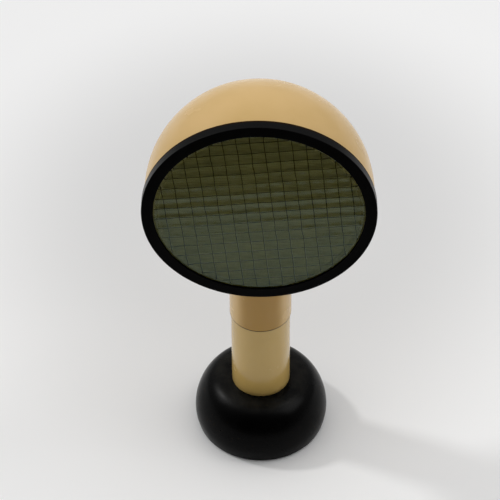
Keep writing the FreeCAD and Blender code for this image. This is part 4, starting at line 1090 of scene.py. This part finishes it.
class LAMP_OT_stage(bpy.types.Operator):
    """Makes the table top, the lights and the camera"""
    bl_idname = "lamp.stage"
    bl_label = "Studio"

    def execute(self, context):
        sizes = context.scene.lamp_stage
        self.make_table(sizes)
        self.make_room(sizes)
        self.make_lamps(sizes)
        self.make_dim_room()
        self.make_soft_boxes()
        self.make_camera()
        context.scene.view_settings.view_transform = "Standard"
        return {"FINISHED"}

    def make_table(self, sizes):
        """The table top: matt laminate, lighter away from a point behind the lamp, as painted light.
        """
        half = 40.0
        table = sheet("table_top", [(-half, -half, 0), (half, -half, 0), (half, half, 0),
                                    (-half, half, 0)])
        material, tree, shader, place = start("matt_white_laminate", {
            "Roughness": 0.8, "Specular IOR Level": 0.0})
        away = add(tree, "ShaderNodeVectorMath", {"operation": "DISTANCE", 1: (0.0, 0.3, 0)},
                   {0: place})
        # painted light: the top turns lighter away from a point behind the lamp, lifting the shade in
        # front of the lamp and brightening the far corners
        painted_light_away = add(tree, "ShaderNodeMapRange", {
            "interpolation_type": "SMOOTHSTEP", "From Min": 0.15, "From Max": 0.42},
            {"Value": away.outputs["Value"]})
        top = add(tree, "ShaderNodeMix", {"data_type": "RGBA", 6: [*sizes.floor, 1.0],
                                          7: linear("F8F8F8")}, {0: painted_light_away.outputs["Result"]})
        tree.links.new(top.outputs[2], shader.inputs["Base Color"])
        relief(tree, shader, place, 2.0, 0.02, 0.3)
        table.data.materials.append(material)

    def make_room(self, sizes):
        """The room's light: bright at the sides, behind and overhead, dim before the glass."""
        world = bpy.data.worlds.new("room")
        bpy.context.scene.world = world
        tree = empty_tree(world)
        way = add(tree, "ShaderNodeSeparateXYZ",
                  links={"Vector": add(tree, "ShaderNodeTexCoord").outputs["Generated"]})
        level = add(tree, "ShaderNodeMapRange", {
            "interpolation_type": "SMOOTHSTEP", "From Min": -0.85, "From Max": 0.1,
            "To Min": sizes.front, "To Max": sizes.world}, {"Value": way.outputs["Y"]})
        height = add(tree, "ShaderNodeMapRange", {"To Min": 0.5, "To Max": 1.5},
                     {"Value": way.outputs["Z"]})
        both = add(tree, "ShaderNodeMath", {"operation": "MULTIPLY"},
                   {0: level.outputs["Result"], 1: height.outputs["Result"]})
        room = add(tree, "ShaderNodeBackground", {"Color": (1, 1, 1, 1)},
                   {"Strength": both.outputs[0]})
        add(tree, "ShaderNodeOutputWorld", links={"Surface": room.outputs["Background"]})

    def make_lamps(self, sizes):
        """The window, high at the left and a little behind, and the ceiling lamp at the right."""
        window = bpy.data.lights.new("window", "SUN")
        window.energy = sizes.key
        window.angle = math.radians(6)
        ceiling = bpy.data.lights.new("ceiling_lamp", "AREA")
        ceiling.energy = sizes.ceiling
        ceiling.size = 0.7
        # each with its place and the way it shines
        for light, place, way in ((window, (0, 0, 0), (0.92, -0.36, -0.97)),
                                  (ceiling, (1.15, 0.15, 2.35), (-1.15, -0.15, -2.25))):
            item = put(light.name, light)
            item.location = place
            item.rotation_mode = "QUATERNION"
            item.rotation_quaternion = Vector(way).to_track_quat("-Z", "Y")

    def make_dim_room(self):
        """The room past the table's front edge, which only reflections show: dark, with bright bars.

        A row has a strip's near and far y, its colour and its name. The edge runs along X and
        comes nearer by one in fifty.
        """
        edges = ((-0.430, -3.0, "181A17", "past_the_edge"), (-0.437, -0.443, "B09C70", "bar_one"),
                 (-0.449, -0.453, "C4AC7C", "bar_two"), (-0.459, -0.466, "FADCA0", "bar_three"),
                 (-0.473, -0.480, "ECCC94", "bar_four"), (-0.488, -0.494, "DCBC88", "bar_five"),
                 (-0.504, -0.508, "A89470", "bar_six"))
        half, slant = 2.5, 0.05
        for level, (near, far, colour, name) in enumerate(edges, start=1):
            rise = 0.4 * MM * level
            self.make_card(name, colour, 1.0, [
                (-half, far + slant, rise), (half, far - slant, rise),
                (half, near - slant, rise), (-half, near + slant, rise)])

    def make_soft_boxes(self):
        """Two soft boxes that only reflections show, one over each shoulder of the lamp."""
        for name, way, size, strength in (("left_soft_box", (-0.68, 0.16, 0.71), 0.5, 4.2),
                                          ("right_soft_box", (0.65, -0.15, 0.73), 0.6, 3.6)):
            way = Vector(way).normalized()
            across = way.cross(Vector((0, 0, 1))).normalized()
            rise = across.cross(way)
            corners = [way * 2.2 + size * (across * a + rise * b)
                       for a, b in ((-1, -1), (1, -1), (1, 1), (-1, 1))]
            self.make_card(name, "FFFFFF", strength, corners)

    def make_card(self, name, colour, strength, corners):
        """A glowing card that is seen only in reflections."""
        card = sheet(name, corners)
        material = bpy.data.materials.new(name)
        tree = empty_tree(material)
        glow = add(tree, "ShaderNodeEmission", {"Color": linear(colour), "Strength": strength})
        add(tree, "ShaderNodeOutputMaterial", links={"Surface": glow.outputs[0]})
        card.data.materials.append(material)
        card.visible_camera = card.visible_diffuse = card.visible_shadow = False
        card.visible_transmission = False

    def make_camera(self):
        """The camera, which looks down by pitch, turned by yaw about +Z and rolled a little."""
        yaw, pitch, roll = 0.0202, 0.7916, -0.0102
        place = Vector((20.65, -1518.48, 1782.83)) * MM
        eye = bpy.data.cameras.new("camera")
        eye.sensor_width = 36.0
        eye.lens = 4.4 * eye.sensor_width
        camera = put("camera", eye)
        camera.matrix_world = (Matrix.Translation(place) @ Matrix.Rotation(yaw, 4, "Z")
                               @ Matrix.Rotation(math.pi / 2 - pitch, 4, "X")
                               @ Matrix.Rotation(roll, 4, "Z"))
        bpy.context.scene.camera = camera


class LAMP_PT_panel(bpy.types.Panel):
    """Lists the lamp's pieces"""
    bl_label = "Searchlight lamp"
    bl_idname = "LAMP_PT_panel"
    bl_space_type = "VIEW_3D"
    bl_region_type = "UI"
    bl_category = "Lamp"

    def draw(self, context):
        for operator in OPERATORS:
            self.layout.operator(operator.bl_idname)


GROUPS = {"lamp_base": LampBase, "lamp_head": LampHead, "lamp_switch": LampSwitch,
          "lamp_stage": LampStage}
OPERATORS = (LAMP_OT_finishes, LAMP_OT_base, LAMP_OT_neck, LAMP_OT_dome, LAMP_OT_bezel,
             LAMP_OT_glass, LAMP_OT_fittings, LAMP_OT_switch, LAMP_OT_bulb, LAMP_OT_stage)


def register():
    """Registers the classes and hangs the sizes on the scene."""
    for item in (*GROUPS.values(), *OPERATORS, LAMP_PT_panel):
        bpy.utils.register_class(item)
    for name, group in GROUPS.items():
        setattr(bpy.types.Scene, name, bpy.props.PointerProperty(type=group))


def unregister():
    """Takes the sizes and the classes away again."""
    for name in GROUPS:
        delattr(bpy.types.Scene, name)
    for item in (LAMP_PT_panel, *reversed(OPERATORS), *reversed(GROUPS.values())):
        bpy.utils.unregister_class(item)


def main():
    register()
    for operator in OPERATORS:
        group, name = operator.bl_idname.split(".")
        getattr(getattr(bpy.ops, group), name)()


if __name__ == "__main__":
    main()
